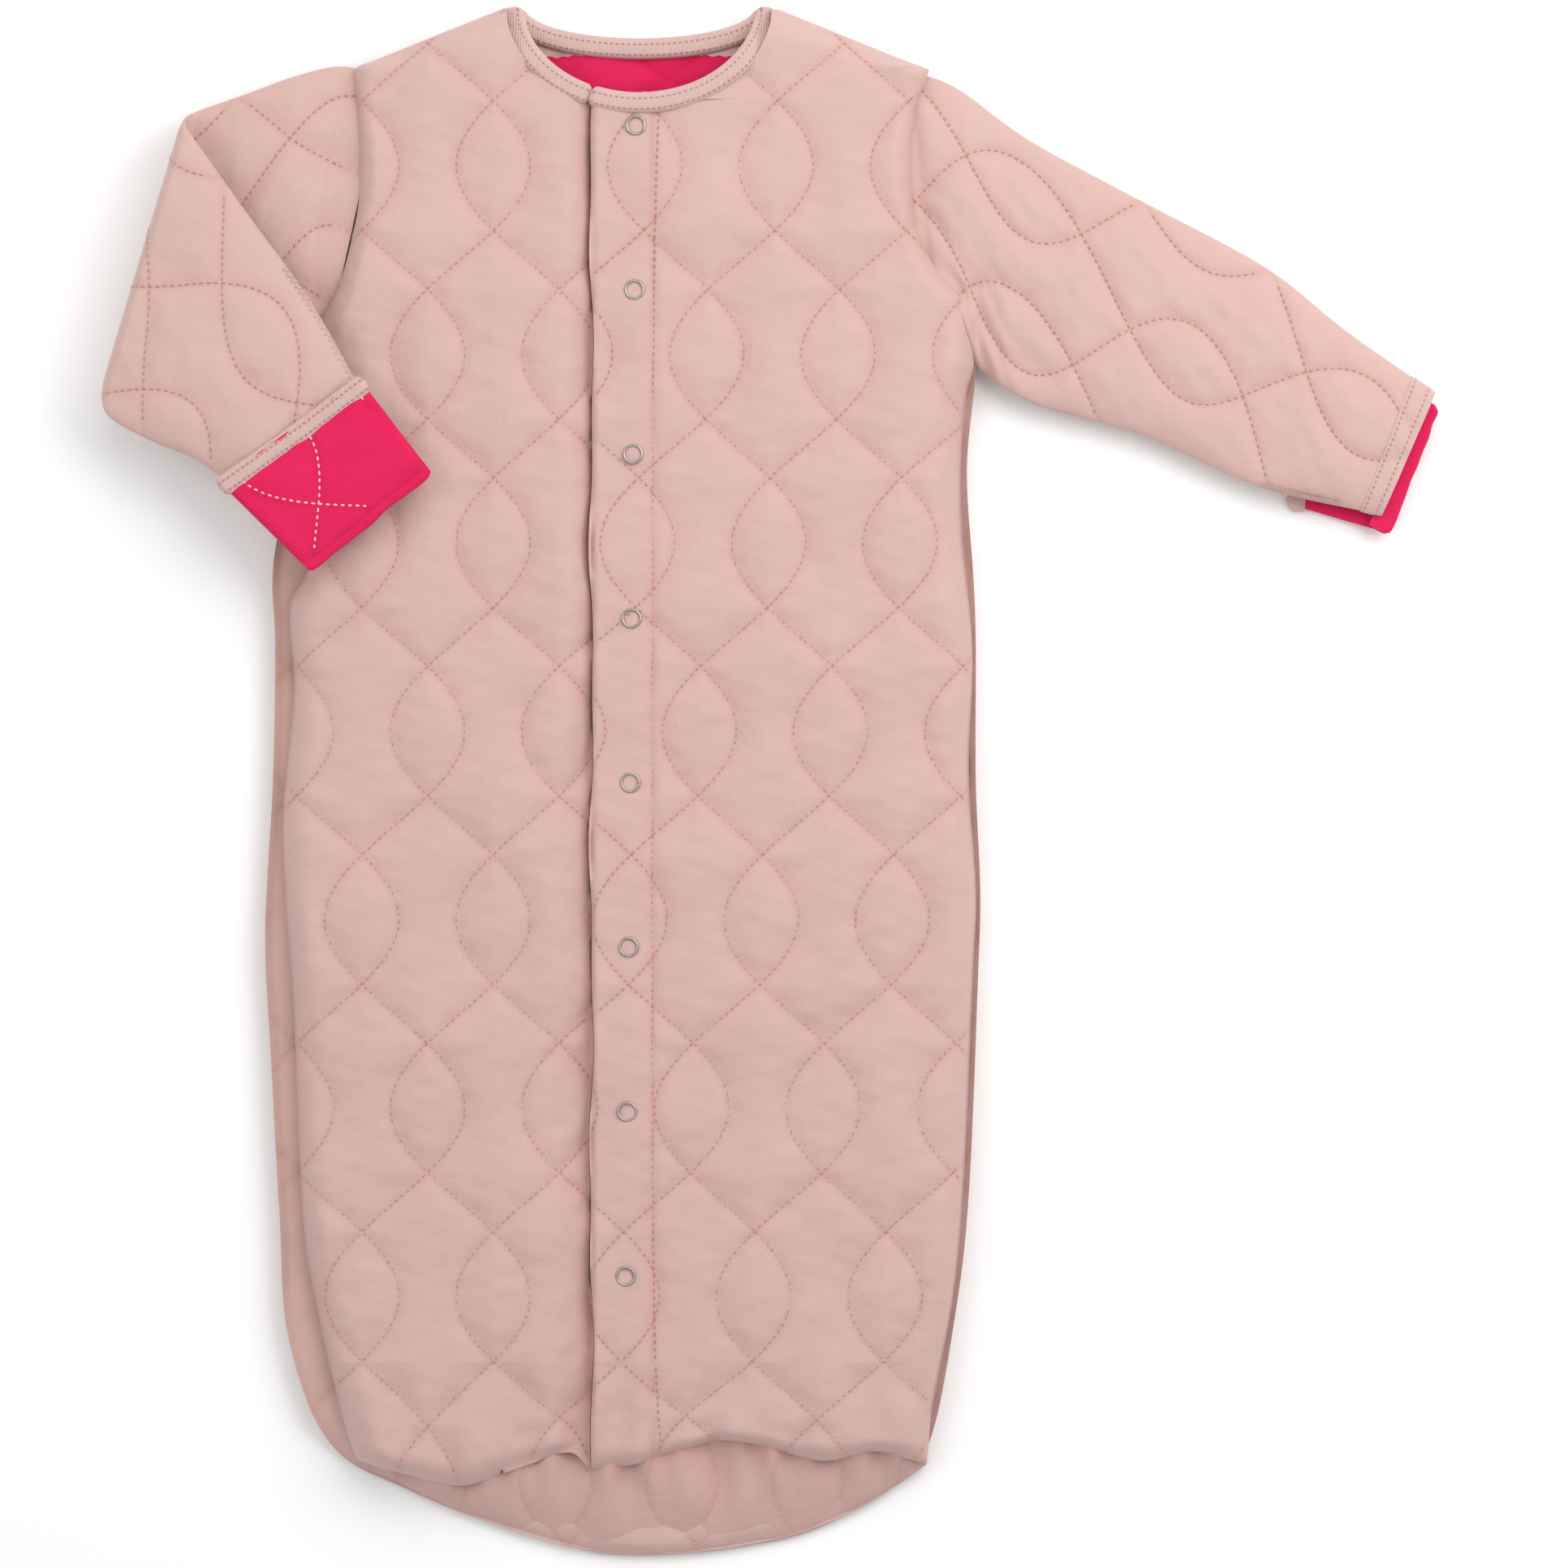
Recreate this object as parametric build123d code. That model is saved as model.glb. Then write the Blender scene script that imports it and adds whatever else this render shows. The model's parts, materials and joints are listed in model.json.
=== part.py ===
from build123d import *

import math
import os

# Baby sleeping bag with long sleeves, lying on its back.
# Millimetres. +Z is up, +Y points from the foot to the neck, +X to the right as seen from the front.
# The origin is on the underside of the bag, below the middle of the chest.
# The left sleeve is folded across the front. Each mitt flap is turned back over its cuff.

# ---------------------------------------------------------------- driving dimensions
JERSEY = 1.0
WADDING = 5.0
PANEL = WADDING + 2 * JERSEY
INSIDE_HEIGHT = 12.0
FRONT_LOW = PANEL + INSIDE_HEIGHT
FRONT_HIGH = FRONT_LOW + PANEL
CLEARANCE = 0.3
SEAM_WIDTH = 5.0
SIDE_SEAM_HIGH_Y = 180.0
SHOULDER_SEAM = [(70.0, 332.0), (128.0, 305.0)]

NECK_X = 6.4
NECK_Y = 348.5
NECK_HALF_WIDTH = 52.0
FRONT_NECK_DEPTH = 40.0
BACK_NECK_DEPTH = 14.0
BINDING_WIDTH = 8.0
FOOT_SEAM_Y = -307.0
FOOT_Y = -351.0

SHOULDER_RIGHT = (136.0, 320.0)
UNDERARM_RIGHT = (160.0, 188.0)
SHOULDER_LEFT = (-122.0, 321.0)
UNDERARM_LEFT = (-153.0, 190.0)
SIDE_RIGHT = [(158, 60), (159, -60), (154, -185), (138, -300)]
SIDE_LEFT = [(-159, 60), (-162, -60), (-157, -190), (-136, -300)]

FREE_EDGE_X = -15.0
PLACKET_EDGE_X = 12.5
PLACKET_LOW_Y = -262.0
PLACKET_THICKNESS = 3.0
STRIP_HIGH = FRONT_LOW - CLEARANCE
OVERLAP_FOLD = [(66.0, 347.0), (30.0, PLACKET_LOW_Y)]
UNDERLAP_FOLD = [(-53.0, 347.0), (-30.0, PLACKET_LOW_Y)]
UNDERLAP_TUCK = 20.0
UNDERLAP_TUCK_LOW = 13.3

SNAP_COUNT = 8
SNAP_TOP = (5.0, 293.5)
SNAP_BOTTOM = (0.5, -223.0)
SNAP_RADIUS = 4.75
SNAP_INNER_RADIUS = 3.2
SNAP_THICKNESS = 1.0
SNAP_ROUNDING = 0.3
SNAP_PLAY = 0.3
PRONG_COUNT = 5
PRONG_RADIUS = 0.35
SOCKET_LOW = FRONT_LOW + 0.2
SOCKET_HEIGHT = 2.0
SOCKET_MOUTH_RADIUS = 2.3
STUD_RADIUS = 1.2
STUD_HEIGHT = 1.7
STUD_BASE = 0.7

SLEEVE_LOW = 4.5
SLEEVE_HIGH = 21.5
SLEEVE_WADDING = 3.0
FOLD_HEIGHT = 24.0
CREASE_GAP = 0.6
CUFF_BAND = 11.0
MITT_LENGTH = 50.0
MITT_LOW = 0.3
MITT_HIGH = 3.8
MITT_BAND = 8.0

# Corners of the sleeves lying flat: elbow crease and cuff, on the shoulder side and on the underarm side.
RIGHT_CREASE = [(201.0, 278.5), (238.4, 157.0)]
RIGHT_CUFF = [(361.0, 176.0), (337.0, 119.0)]
LEFT_CREASE = [(-193.5, 295.7), (-230.7, 171.6)]
LEFT_CUFF = [(-368.0, 221.0), (-347.5, 158.0)]


# ---------------------------------------------------------------- flat shapes
def polygon(*corners):
    """A flat face with straight edges."""
    return make_face(Polyline(*corners, close=True))


def slab(face, low, high):
    """A flat face made into a layer between two heights."""
    return extrude(Pos(0, 0, low) * face, amount=high - low)


def toward(start, end, distance):
    """The point that lies the distance from start, on the way to end."""
    direction = (Vector(*end) - Vector(*start)).normalized()
    point = Vector(*start) + direction * distance
    return (point.X, point.Y)


def bag_outline(inset):
    """The bag seen from above, with its edge moved in."""
    right = [(x - inset, y) for x, y in [UNDERARM_RIGHT, *SIDE_RIGHT]]
    left = [(x + inset, y) for x, y in [UNDERARM_LEFT, *SIDE_LEFT]]
    foot = (0, FOOT_Y + inset)
    sides = Spline(*right, foot, *reversed(left))
    neck_reach = NECK_HALF_WIDTH + BINDING_WIDTH
    neck_right = (NECK_X + neck_reach, NECK_Y - inset)
    neck_left = (NECK_X - neck_reach, NECK_Y - inset)
    shoulder_right = (SHOULDER_RIGHT[0] - inset, SHOULDER_RIGHT[1] - inset)
    shoulder_left = (SHOULDER_LEFT[0] + inset, SHOULDER_LEFT[1] - inset)
    top = Polyline(left[0], shoulder_left, neck_left, neck_right, shoulder_right, right[0])
    return make_face(Wire([*sides.edges(), *top.edges()]))


def neck_ellipse(depth, margin):
    """The neck's cut-out, grown by a margin."""
    return Pos(NECK_X, NECK_Y) * Ellipse(NECK_HALF_WIDTH + margin, depth + margin)


BEYOND = 600.0
ABOVE_FOOT = polygon(
    (-BEYOND, FOOT_SEAM_Y), (BEYOND, FOOT_SEAM_Y), (BEYOND, BEYOND), (-BEYOND, BEYOND)
)
BELOW_FOOT = polygon(
    (-BEYOND, FOOT_SEAM_Y), (BEYOND, FOOT_SEAM_Y), (BEYOND, -BEYOND), (-BEYOND, -BEYOND)
)
OUTLINE = bag_outline(0)
FRONT = (OUTLINE & ABOVE_FOOT) - neck_ellipse(FRONT_NECK_DEPTH, BINDING_WIDTH)


def beside_fold(fold, far_x, low_y):
    """The region between a fold line, carried on past the neck, and a straight edge at far_x."""
    top, bottom = fold
    past_top = toward(bottom, top, BEYOND + math.dist(bottom, top))
    return polygon((bottom[0], low_y), past_top, (far_x, past_top[1]), (far_x, low_y))


def layers(name, face, low):
    """Jersey, wadding and lining of one quilted panel, with the jersey on top."""
    return {
        f"{name}_lining": slab(face, low, low + JERSEY),
        f"{name}_wadding": slab(face, low + JERSEY, low + JERSEY + WADDING),
        f"{name}_jersey": slab(face, low + JERSEY + WADDING, low + PANEL),
    }


# ---------------------------------------------------------------- back, foot and seams
def back_panel():
    """The back lies on the floor with its jersey down."""
    face = OUTLINE - neck_ellipse(BACK_NECK_DEPTH, BINDING_WIDTH)
    return {
        "back_jersey": slab(face, 0, JERSEY),
        "back_wadding": slab(face, JERSEY, JERSEY + WADDING),
        "back_lining": slab(face, JERSEY + WADDING, PANEL),
    }


def foot_panel():
    """The foot panel rises from the back's edge and meets the front's gathered lower edge."""
    face = OUTLINE & BELOW_FOOT
    closing_edge = face - bag_outline(SEAM_WIDTH)
    parts = layers("foot", face, FRONT_LOW)
    parts["foot_wadding"] += slab(closing_edge, PANEL, FRONT_LOW + JERSEY)
    parts["foot_lining"] -= slab(closing_edge, PANEL, FRONT_HIGH)
    return parts


def edge_seams():
    """Seam allowances that close the bag along its sides and its shoulders."""
    ring = (OUTLINE & ABOVE_FOOT) - bag_outline(SEAM_WIDTH)
    below_underarm = polygon(
        (0, SIDE_SEAM_HIGH_Y), (BEYOND, SIDE_SEAM_HIGH_Y), (BEYOND, FOOT_SEAM_Y), (0, FOOT_SEAM_Y)
    )
    neck_end, arm_end = SHOULDER_SEAM
    shoulder = polygon(neck_end, arm_end, (arm_end[0], BEYOND), (neck_end[0], BEYOND))
    other_shoulder = Pos(2 * NECK_X) * mirror(shoulder, about=Plane.YZ)
    right_side = ring & below_underarm
    left_side = ring & mirror(below_underarm, about=Plane.YZ)
    shoulder_strips = (ring & shoulder) + (ring & other_shoulder)
    return {
        "side_seam_right": slab(right_side, PANEL, FRONT_LOW),
        "side_seam_left": slab(left_side, PANEL, FRONT_LOW),
        "shoulder_seams": slab(shoulder_strips, PANEL, FRONT_LOW),
    }


# ---------------------------------------------------------------- front, placket and neck
def front_regions():
    """The front divided at the two fold lines where its halves turn open."""
    overlap_area = beside_fold(OVERLAP_FOLD, FREE_EDGE_X, PLACKET_LOW_Y)
    underlap_area = beside_fold(UNDERLAP_FOLD, FREE_EDGE_X - CLEARANCE, PLACKET_LOW_Y)
    right_half = FRONT & polygon(
        (FREE_EDGE_X, -BEYOND), (BEYOND, -BEYOND), (BEYOND, BEYOND), (FREE_EDGE_X, BEYOND)
    )
    left_half = FRONT - right_half
    overlap_hole = beside_fold(
        [(x + CLEARANCE, y) for x, y in OVERLAP_FOLD], FREE_EDGE_X, PLACKET_LOW_Y - CLEARANCE
    )
    underlap_hole = beside_fold(
        [(x - CLEARANCE, y) for x, y in UNDERLAP_FOLD], FREE_EDGE_X, PLACKET_LOW_Y - CLEARANCE
    )
    return {
        "front_right": right_half - overlap_hole,
        "front_left": left_half - underlap_hole,
        "overlap": FRONT & overlap_area,
        "underlap": FRONT & underlap_area,
    }


def snap_places():
    """Centres of the snaps, evenly spaced down the placket."""
    top, bottom = Vector(*SNAP_TOP), Vector(*SNAP_BOTTOM)
    step = (bottom - top) / (SNAP_COUNT - 1)
    return [top + step * i for i in range(SNAP_COUNT)]


def at_snaps(solid):
    """The same metal part at every snap, as one group."""
    return Compound(children=[Pos(place.X, place.Y, 0) * solid for place in snap_places()])


def prong_ring(low, prong_from, prong_to):
    """An open ring with prongs that go through the fabric."""
    disc = Cylinder(SNAP_RADIUS, SNAP_THICKNESS) - Cylinder(SNAP_INNER_RADIUS, SNAP_THICKNESS)
    disc = fillet(disc.edges().filter_by(GeomType.CIRCLE), SNAP_ROUNDING)
    ring = Pos(0, 0, low + SNAP_THICKNESS / 2) * disc
    middle = (SNAP_RADIUS + SNAP_INNER_RADIUS) / 2
    length = prong_to - prong_from
    for angle in range(0, 360, 360 // PRONG_COUNT):
        prong = Rot(0, 0, angle) * Pos(middle, 0, (prong_from + prong_to) / 2)
        ring += prong * Cylinder(PRONG_RADIUS, length)
    return ring


def socket_disc():
    """The room one socket takes up in the overlap."""
    return Pos(0, 0, SOCKET_LOW + SOCKET_HEIGHT / 2) * Cylinder(SNAP_RADIUS, SOCKET_HEIGHT)


def stud_base():
    """The flat base of one stud, sunk into the placket strip."""
    return Pos(0, 0, STRIP_HIGH - STUD_BASE / 2) * Cylinder(SNAP_RADIUS - SNAP_PLAY, STUD_BASE)


def snaps():
    """Ring and socket on the overlap, stud and ring on the underlap."""
    strip_low = STRIP_HIGH - PLACKET_THICKNESS
    top_ring = prong_ring(FRONT_HIGH, SOCKET_LOW + SOCKET_HEIGHT, FRONT_HIGH + SNAP_THICKNESS / 2)
    mouth_depth = SOCKET_HEIGHT - SNAP_PLAY
    mouth = Pos(0, 0, SOCKET_LOW + mouth_depth / 2) * Cylinder(SOCKET_MOUTH_RADIUS, mouth_depth)
    socket = socket_disc() - mouth
    post = Pos(0, 0, STRIP_HIGH + STUD_HEIGHT / 2) * Cylinder(STUD_RADIUS, STUD_HEIGHT)
    back_ring = prong_ring(strip_low - SNAP_THICKNESS, strip_low - SNAP_THICKNESS / 2, STRIP_HIGH - STUD_BASE)
    return {
        "snap_rings": at_snaps(top_ring),
        "snap_sockets": at_snaps(socket),
        "snap_studs": at_snaps(stud_base() + post),
        "snap_back_rings": at_snaps(back_ring),
    }


def front_panels():
    """Both halves of the front, each in a part that stays and a part that opens, with the placket."""
    regions = front_regions()
    parts = {}
    for name, face in regions.items():
        low = STRIP_HIGH if name == "underlap" else FRONT_LOW
        parts.update(layers(name, face, low))
    mouths = at_snaps(Pos(0, 0, FRONT_LOW) * Cylinder(SOCKET_MOUTH_RADIUS, 2 * CLEARANCE))
    for name in ("overlap_lining", "overlap_wadding"):
        parts[name] = parts[name] - at_snaps(socket_disc()) - mouths

    strip = polygon(
        (FREE_EDGE_X - UNDERLAP_TUCK_LOW, PLACKET_LOW_Y),
        (PLACKET_EDGE_X, PLACKET_LOW_Y),
        (PLACKET_EDGE_X, NECK_Y),
        (FREE_EDGE_X - UNDERLAP_TUCK, NECK_Y),
    ) - neck_ellipse(FRONT_NECK_DEPTH, 0)
    strip_solid = slab(strip, STRIP_HIGH - PLACKET_THICKNESS, STRIP_HIGH)
    parts["underlap_placket"] = strip_solid - at_snaps(stud_base())
    return parts


def neck_bindings():
    """Rib bands round the neck: one on the back and one on each half of the front."""
    upper_half = polygon((-BEYOND, NECK_Y), (BEYOND, NECK_Y), (BEYOND, 0), (-BEYOND, 0))
    front_ring = neck_ellipse(FRONT_NECK_DEPTH, BINDING_WIDTH) - neck_ellipse(FRONT_NECK_DEPTH, 0)
    back_ring = neck_ellipse(BACK_NECK_DEPTH, BINDING_WIDTH) - neck_ellipse(BACK_NECK_DEPTH, 0)
    front_ring = front_ring & upper_half
    back_ring = back_ring & upper_half & OUTLINE
    right = front_ring & beside_fold(OVERLAP_FOLD, FREE_EDGE_X, 0)
    left = front_ring & beside_fold(UNDERLAP_FOLD, FREE_EDGE_X - CLEARANCE, 0)
    return {
        "neck_binding_back": slab(back_ring, 0, PANEL),
        "neck_binding_overlap": slab(right, FRONT_LOW, FRONT_HIGH),
        "neck_binding_underlap": slab(left, FRONT_LOW - CLEARANCE, FRONT_HIGH - CLEARANCE),
    }


# ---------------------------------------------------------------- sleeves
def tube(near, far, wall_out, wall_in):
    """A flat tube of one sleeve layer, open at both ends, between an outer and an inner wall depth.

    near and far each hold the corner on the shoulder side and the corner on the underarm side.
    """

    def prism(depth, end_reach):
        edges = []
        for this_side, other_side in ((0, 1), (1, 0)):
            start = toward(near[this_side], near[other_side], depth)
            end = toward(far[this_side], far[other_side], depth)
            edges.append((toward(start, end, -end_reach), toward(end, start, -end_reach)))
        (top_near, top_far), (low_near, low_far) = edges
        face = polygon(top_near, top_far, low_far, low_near)
        return slab(face, SLEEVE_LOW + depth, SLEEVE_HIGH - depth)

    return prism(wall_out, 0) - prism(wall_in, 1)


def sleeve_layers(name, near, far):
    """Jersey, wadding and lining of a stretch of sleeve."""
    lining_out = JERSEY + SLEEVE_WADDING
    return {
        f"{name}_jersey": tube(near, far, 0, JERSEY),
        f"{name}_wadding": tube(near, far, JERSEY, lining_out),
        f"{name}_lining": tube(near, far, lining_out, lining_out + JERSEY),
    }


def forearm(side, crease, cuff):
    """The part of a sleeve past the elbow crease, with its cuff binding and its mitt flap."""
    near = [toward(crease[i], cuff[i], CREASE_GAP) for i in (0, 1)]
    band = [toward(cuff[i], crease[i], CUFF_BAND) for i in (0, 1)]
    flap_end = [toward(cuff[i], crease[i], MITT_LENGTH) for i in (0, 1)]
    flap_band = [toward(flap_end[i], cuff[i], MITT_BAND) for i in (0, 1)]
    flap = polygon(cuff[0], cuff[1], flap_band[1], flap_band[0])
    edge = polygon(flap_band[0], flap_band[1], flap_end[1], flap_end[0])
    middle = (MITT_LOW + MITT_HIGH) / 2
    parts = sleeve_layers(f"sleeve_{side}_forearm", near, band)
    parts[f"cuff_binding_{side}"] = tube(band, cuff, 0, JERSEY + SLEEVE_WADDING)
    parts[f"mitt_{side}_lining"] = slab(flap, MITT_LOW, middle)
    parts[f"mitt_{side}_jersey"] = slab(flap, middle, MITT_HIGH)
    parts[f"mitt_{side}_binding"] = slab(edge, MITT_LOW, MITT_HIGH)
    return parts


def sleeves():
    """Both sleeves. The left one's forearm is turned over its crease to lie on the front."""
    parts = sleeve_layers("sleeve_right_upper", [SHOULDER_RIGHT, UNDERARM_RIGHT], RIGHT_CREASE)
    parts.update(sleeve_layers("sleeve_left_upper", [SHOULDER_LEFT, UNDERARM_LEFT], LEFT_CREASE))
    parts.update(forearm("right", RIGHT_CREASE, RIGHT_CUFF))
    start, end = (Vector(*corner, FOLD_HEIGHT) for corner in LEFT_CREASE)
    crease_axis = Axis(start, end - start)
    for name, flat in forearm("left", LEFT_CREASE, LEFT_CUFF).items():
        parts[name] = flat.rotate(crease_axis, 180)
    return parts


# ---------------------------------------------------------------- assembly
ALL_PARTS = {
    **back_panel(),
    **foot_panel(),
    **edge_seams(),
    **front_panels(),
    **neck_bindings(),
    **snaps(),
    **sleeves(),
}

os.makedirs("parts", exist_ok=True)
for node, shape in ALL_PARTS.items():
    export_step(Compound(children=shape.solids()), f"parts/{node}.step")
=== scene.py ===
import json
import math

import bpy
import numpy as np
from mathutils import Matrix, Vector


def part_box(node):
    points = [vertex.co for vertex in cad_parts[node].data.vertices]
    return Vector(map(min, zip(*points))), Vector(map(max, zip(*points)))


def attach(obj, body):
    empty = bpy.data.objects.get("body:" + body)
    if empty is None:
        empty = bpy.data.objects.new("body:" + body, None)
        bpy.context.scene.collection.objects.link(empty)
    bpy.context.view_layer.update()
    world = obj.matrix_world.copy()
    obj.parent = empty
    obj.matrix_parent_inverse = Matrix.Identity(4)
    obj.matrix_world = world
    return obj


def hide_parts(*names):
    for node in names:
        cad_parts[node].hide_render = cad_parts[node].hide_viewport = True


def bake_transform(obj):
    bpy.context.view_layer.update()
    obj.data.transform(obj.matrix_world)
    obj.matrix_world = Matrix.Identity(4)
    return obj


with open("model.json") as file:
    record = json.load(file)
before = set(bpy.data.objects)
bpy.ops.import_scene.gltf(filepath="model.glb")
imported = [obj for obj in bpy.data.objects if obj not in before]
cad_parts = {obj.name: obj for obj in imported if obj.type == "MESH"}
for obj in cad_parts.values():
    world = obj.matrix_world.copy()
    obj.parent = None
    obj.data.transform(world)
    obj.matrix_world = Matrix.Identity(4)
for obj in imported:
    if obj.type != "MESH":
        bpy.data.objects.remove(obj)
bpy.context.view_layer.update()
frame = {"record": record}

# Everything below is in metres, in the frame of the model: +Y to the neck, +Z up from the floor.
MM = 0.001
CELL = 1.8 * MM

# Heights of the bag's layers.
FRONT_TOP = 25.0 * MM
FRONT_UNDER = 19.0 * MM
SEAM_HEIGHT = 8.5 * MM
BACK_INSIDE = 7.5 * MM
SLEEVE_MIDDLE = 12.5 * MM
SLEEVE_HALF = 8.0 * MM
FOLD_HEIGHT = 24.0 * MM

# The neck is two half ellipses; the binding fills the band between the inner and the outer one.
NECK = np.array((6.4, 348.5)) * MM
NECK_HALF_WIDTH = 52 * MM
FRONT_NECK_DEPTH = 40 * MM
BACK_NECK_DEPTH = 14 * MM
BINDING = 8 * MM

FREE_EDGE_X = -15 * MM
PLACKET_SEAM_X = 12.5 * MM
PLACKET_LOW_Y = -262 * MM
OPENING_FREE_Y = -110 * MM
FOOT_Y = -307 * MM
OVERLAP_FOLD = np.array(((66.0, 347.0), (30.0, -262.0))) * MM
UNDERLAP_FOLD = np.array(((-53.0, 347.0), (-30.0, -262.0))) * MM

# Outlines, from the foot to the neck.
FRONT_RIGHT = np.array((
    (136, -308), (139, -281), (148, -234), (153, -179), (157, -88), (158.5, -51), (155, 4), (157, 58),
    (151.5, 117), (153, 168), (158, 190), (153, 215), (139, 232), (130.5, 252), (129, 275), (131, 300), (137, 320),
)) * MM
FRONT_LEFT = np.array((
    (-121, -308), (-128, -288), (-139, -241), (-146, -197), (-150, -106), (-154, -51), (-155, -15), (-150, 40),
    (-152, 77), (-143, 98), (-143, 140), (-146, 175), (-150, 192), (-134, 213), (-128, 226), (-121, 256),
    (-120, 285), (-122, 321),
)) * MM
FRONT_HEM = np.array((
    (-122, -307), (-98, -313), (-73, -318), (-45, -309), (-25, -303), (-13, -311), (11, -307), (47, -298),
    (87, -307), (111, -303), (137, -309),
)) * MM
FOOT_HEM = np.array((
    (-122, -307), (-99, -321), (-62, -336), (-26, -347), (0, -351), (40, -349), (84, -340), (120, -321), (137, -309),
)) * MM
BACK_RIGHT = np.array((
    (4, -351), (40, -348.6), (84, -339), (120, -321), (137, -300), (149, -240), (155, -185), (159, -90),
    (160, -50), (158, 0), (158, 60), (157, 90), (154, 140), (158, 188), (153, 215), (137, 232), (129, 252),
    (127, 275), (129, 300), (136, 320),
)) * MM
BACK_LEFT = np.array((
    (4, -351), (-26, -346.8), (-62, -336), (-99, -321), (-133, -301), (-152, -252), (-156, -197), (-160, -124),
    (-162.5, -69), (-159, 0), (-158, 60), (-159, 95), (-152, 140), (-151, 190), (-133, 213), (-127, 226),
    (-120, 256), (-119, 285), (-122, 320),
)) * MM
RIGHT_SLEEVE_TOP = np.array(((112, 316), (130, 318), (150, 311), (182, 288), (230, 262), (288, 231), (325, 202), (365, 174))) * MM
RIGHT_SLEEVE_LOW = np.array(((128, 208), (149, 196), (163, 182), (182, 170), (205, 163), (236, 154), (285, 132), (341, 119))) * MM

# Quilting: lines in opposite phase that cross and leave ovals between them.
QUILT_STEP = 29.5 * MM
QUILT_SWING = 31.4 * MM
QUILT_PERIOD = 169.3 * MM
QUILT_Y = -105.3 * MM
QUILT_RIGHT = {"x": 47.8 * MM, "lean": 0.02}
QUILT_LEFT = {"x": -73.8 * MM, "lean": 0.0}
PUFF = 3.0 * MM
PUFF_REACH = 6.5 * MM
STITCH_PITCH = 3.3 * MM
STITCH_LENGTH = 2.5 * MM
STITCH_WIDTH = 0.42 * MM


# ---------------------------------------------------------------- materials
def node(tree, kind, **values):
    """A shader node with some of its inputs set."""
    made = tree.nodes.new(kind)
    for name, value in values.items():
        made.inputs[name.replace("_", " ")].default_value = value
    return made


def ramp_colour(tree, factor, low, high):
    """Mixes two colours by a factor socket."""
    mix = tree.nodes.new("ShaderNodeMix")
    mix.data_type = "RGBA"
    tree.links.new(factor, mix.inputs[0])
    mix.inputs[6].default_value = (*low, 1)
    mix.inputs[7].default_value = (*high, 1)
    return mix.outputs[2]


def fabric(name, colour, shade, pale, rib=0.0, sheen=0.25, knit=0.35):
    """Knitted cotton: fine loops in the bump, cloudy colour, and painted shade, darkest in the stitched valleys, mixed
    in by a shade value at each vertex that also places the puckers.
    """
    material = bpy.data.materials.new(name)
    material.use_nodes = True
    tree = material.node_tree
    shader = tree.nodes["Principled BSDF"]
    shader.inputs["Roughness"].default_value = 0.86
    shader.inputs["Sheen Weight"].default_value = sheen
    shader.inputs["Sheen Roughness"].default_value = 0.5
    shader.inputs["Specular IOR Level"].default_value = 0.2
    place = tree.nodes.new("ShaderNodeTexCoord").outputs["Object"]

    cloud = node(tree, "ShaderNodeTexNoise", Scale=38.0, Detail=5.0, Roughness=0.6)
    speck = node(tree, "ShaderNodeTexNoise", Scale=1500.0, Detail=2.0)
    for texture in (cloud, speck):
        tree.links.new(place, texture.inputs["Vector"])
    clouded = ramp_colour(tree, cloud.outputs["Fac"], colour, pale)
    speckled = tree.nodes.new("ShaderNodeMix")
    speckled.data_type = "RGBA"
    speckled.blend_type = "MULTIPLY"
    speckled.inputs[0].default_value = 0.14
    tree.links.new(clouded, speckled.inputs[6])
    tree.links.new(speck.outputs["Color"], speckled.inputs[7])
    # Painted shade: the colour is mixed towards the fabric's shade colour by each vertex's shade value.
    valley_shade = tree.nodes.new("ShaderNodeAttribute")
    valley_shade.attribute_name = "valley_shade"
    shaded = tree.nodes.new("ShaderNodeMix")
    shaded.data_type = "RGBA"
    tree.links.new(valley_shade.outputs["Fac"], shaded.inputs[0])
    tree.links.new(speckled.outputs[2], shaded.inputs[6])
    shaded.inputs[7].default_value = (*shade, 1)
    tree.links.new(shaded.outputs[2], shader.inputs["Base Color"])

    loops = node(tree, "ShaderNodeTexVoronoi", Scale=1100.0)
    pucker = node(tree, "ShaderNodeTexNoise", Scale=330.0, Detail=3.0)
    crumple = node(tree, "ShaderNodeTexNoise", Scale=70.0, Detail=4.0, Roughness=0.55)
    for texture in (loops, pucker, crumple):
        tree.links.new(place, texture.inputs["Vector"])
    gathered = tree.nodes.new("ShaderNodeMath")
    gathered.operation = "MULTIPLY"
    tree.links.new(pucker.outputs["Fac"], gathered.inputs[0])
    tree.links.new(valley_shade.outputs["Fac"], gathered.inputs[1])
    heights = [(loops.outputs["Distance"], knit * 0.25 * MM), (gathered.outputs[0], 1.3 * MM),
               (crumple.outputs["Fac"], 1.2 * MM)]
    if rib:
        ribs = node(tree, "ShaderNodeTexWave", Scale=rib, Distortion=0.6, Detail=1.0)
        tree.links.new(place, ribs.inputs["Vector"])
        heights.append((ribs.outputs["Fac"], 0.22 * MM))
    normal = None
    for socket, depth in heights:
        bump = node(tree, "ShaderNodeBump", Strength=0.9, Distance=depth)
        tree.links.new(socket, bump.inputs["Height"])
        if normal:
            tree.links.new(normal, bump.inputs["Normal"])
        normal = bump.outputs["Normal"]
    tree.links.new(normal, shader.inputs["Normal"])
    return material


def thread(name, colour, pale):
    """Twisted cotton thread."""
    material = bpy.data.materials.new(name)
    material.use_nodes = True
    tree = material.node_tree
    shader = tree.nodes["Principled BSDF"]
    shader.inputs["Roughness"].default_value = 0.6
    shader.inputs["Sheen Weight"].default_value = 0.3
    place = tree.nodes.new("ShaderNodeTexCoord").outputs["Object"]
    twist = node(tree, "ShaderNodeTexNoise", Scale=900.0, Detail=2.0)
    tree.links.new(place, twist.inputs["Vector"])
    tree.links.new(ramp_colour(tree, twist.outputs["Fac"], colour, pale), shader.inputs["Base Color"])
    return material


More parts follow.
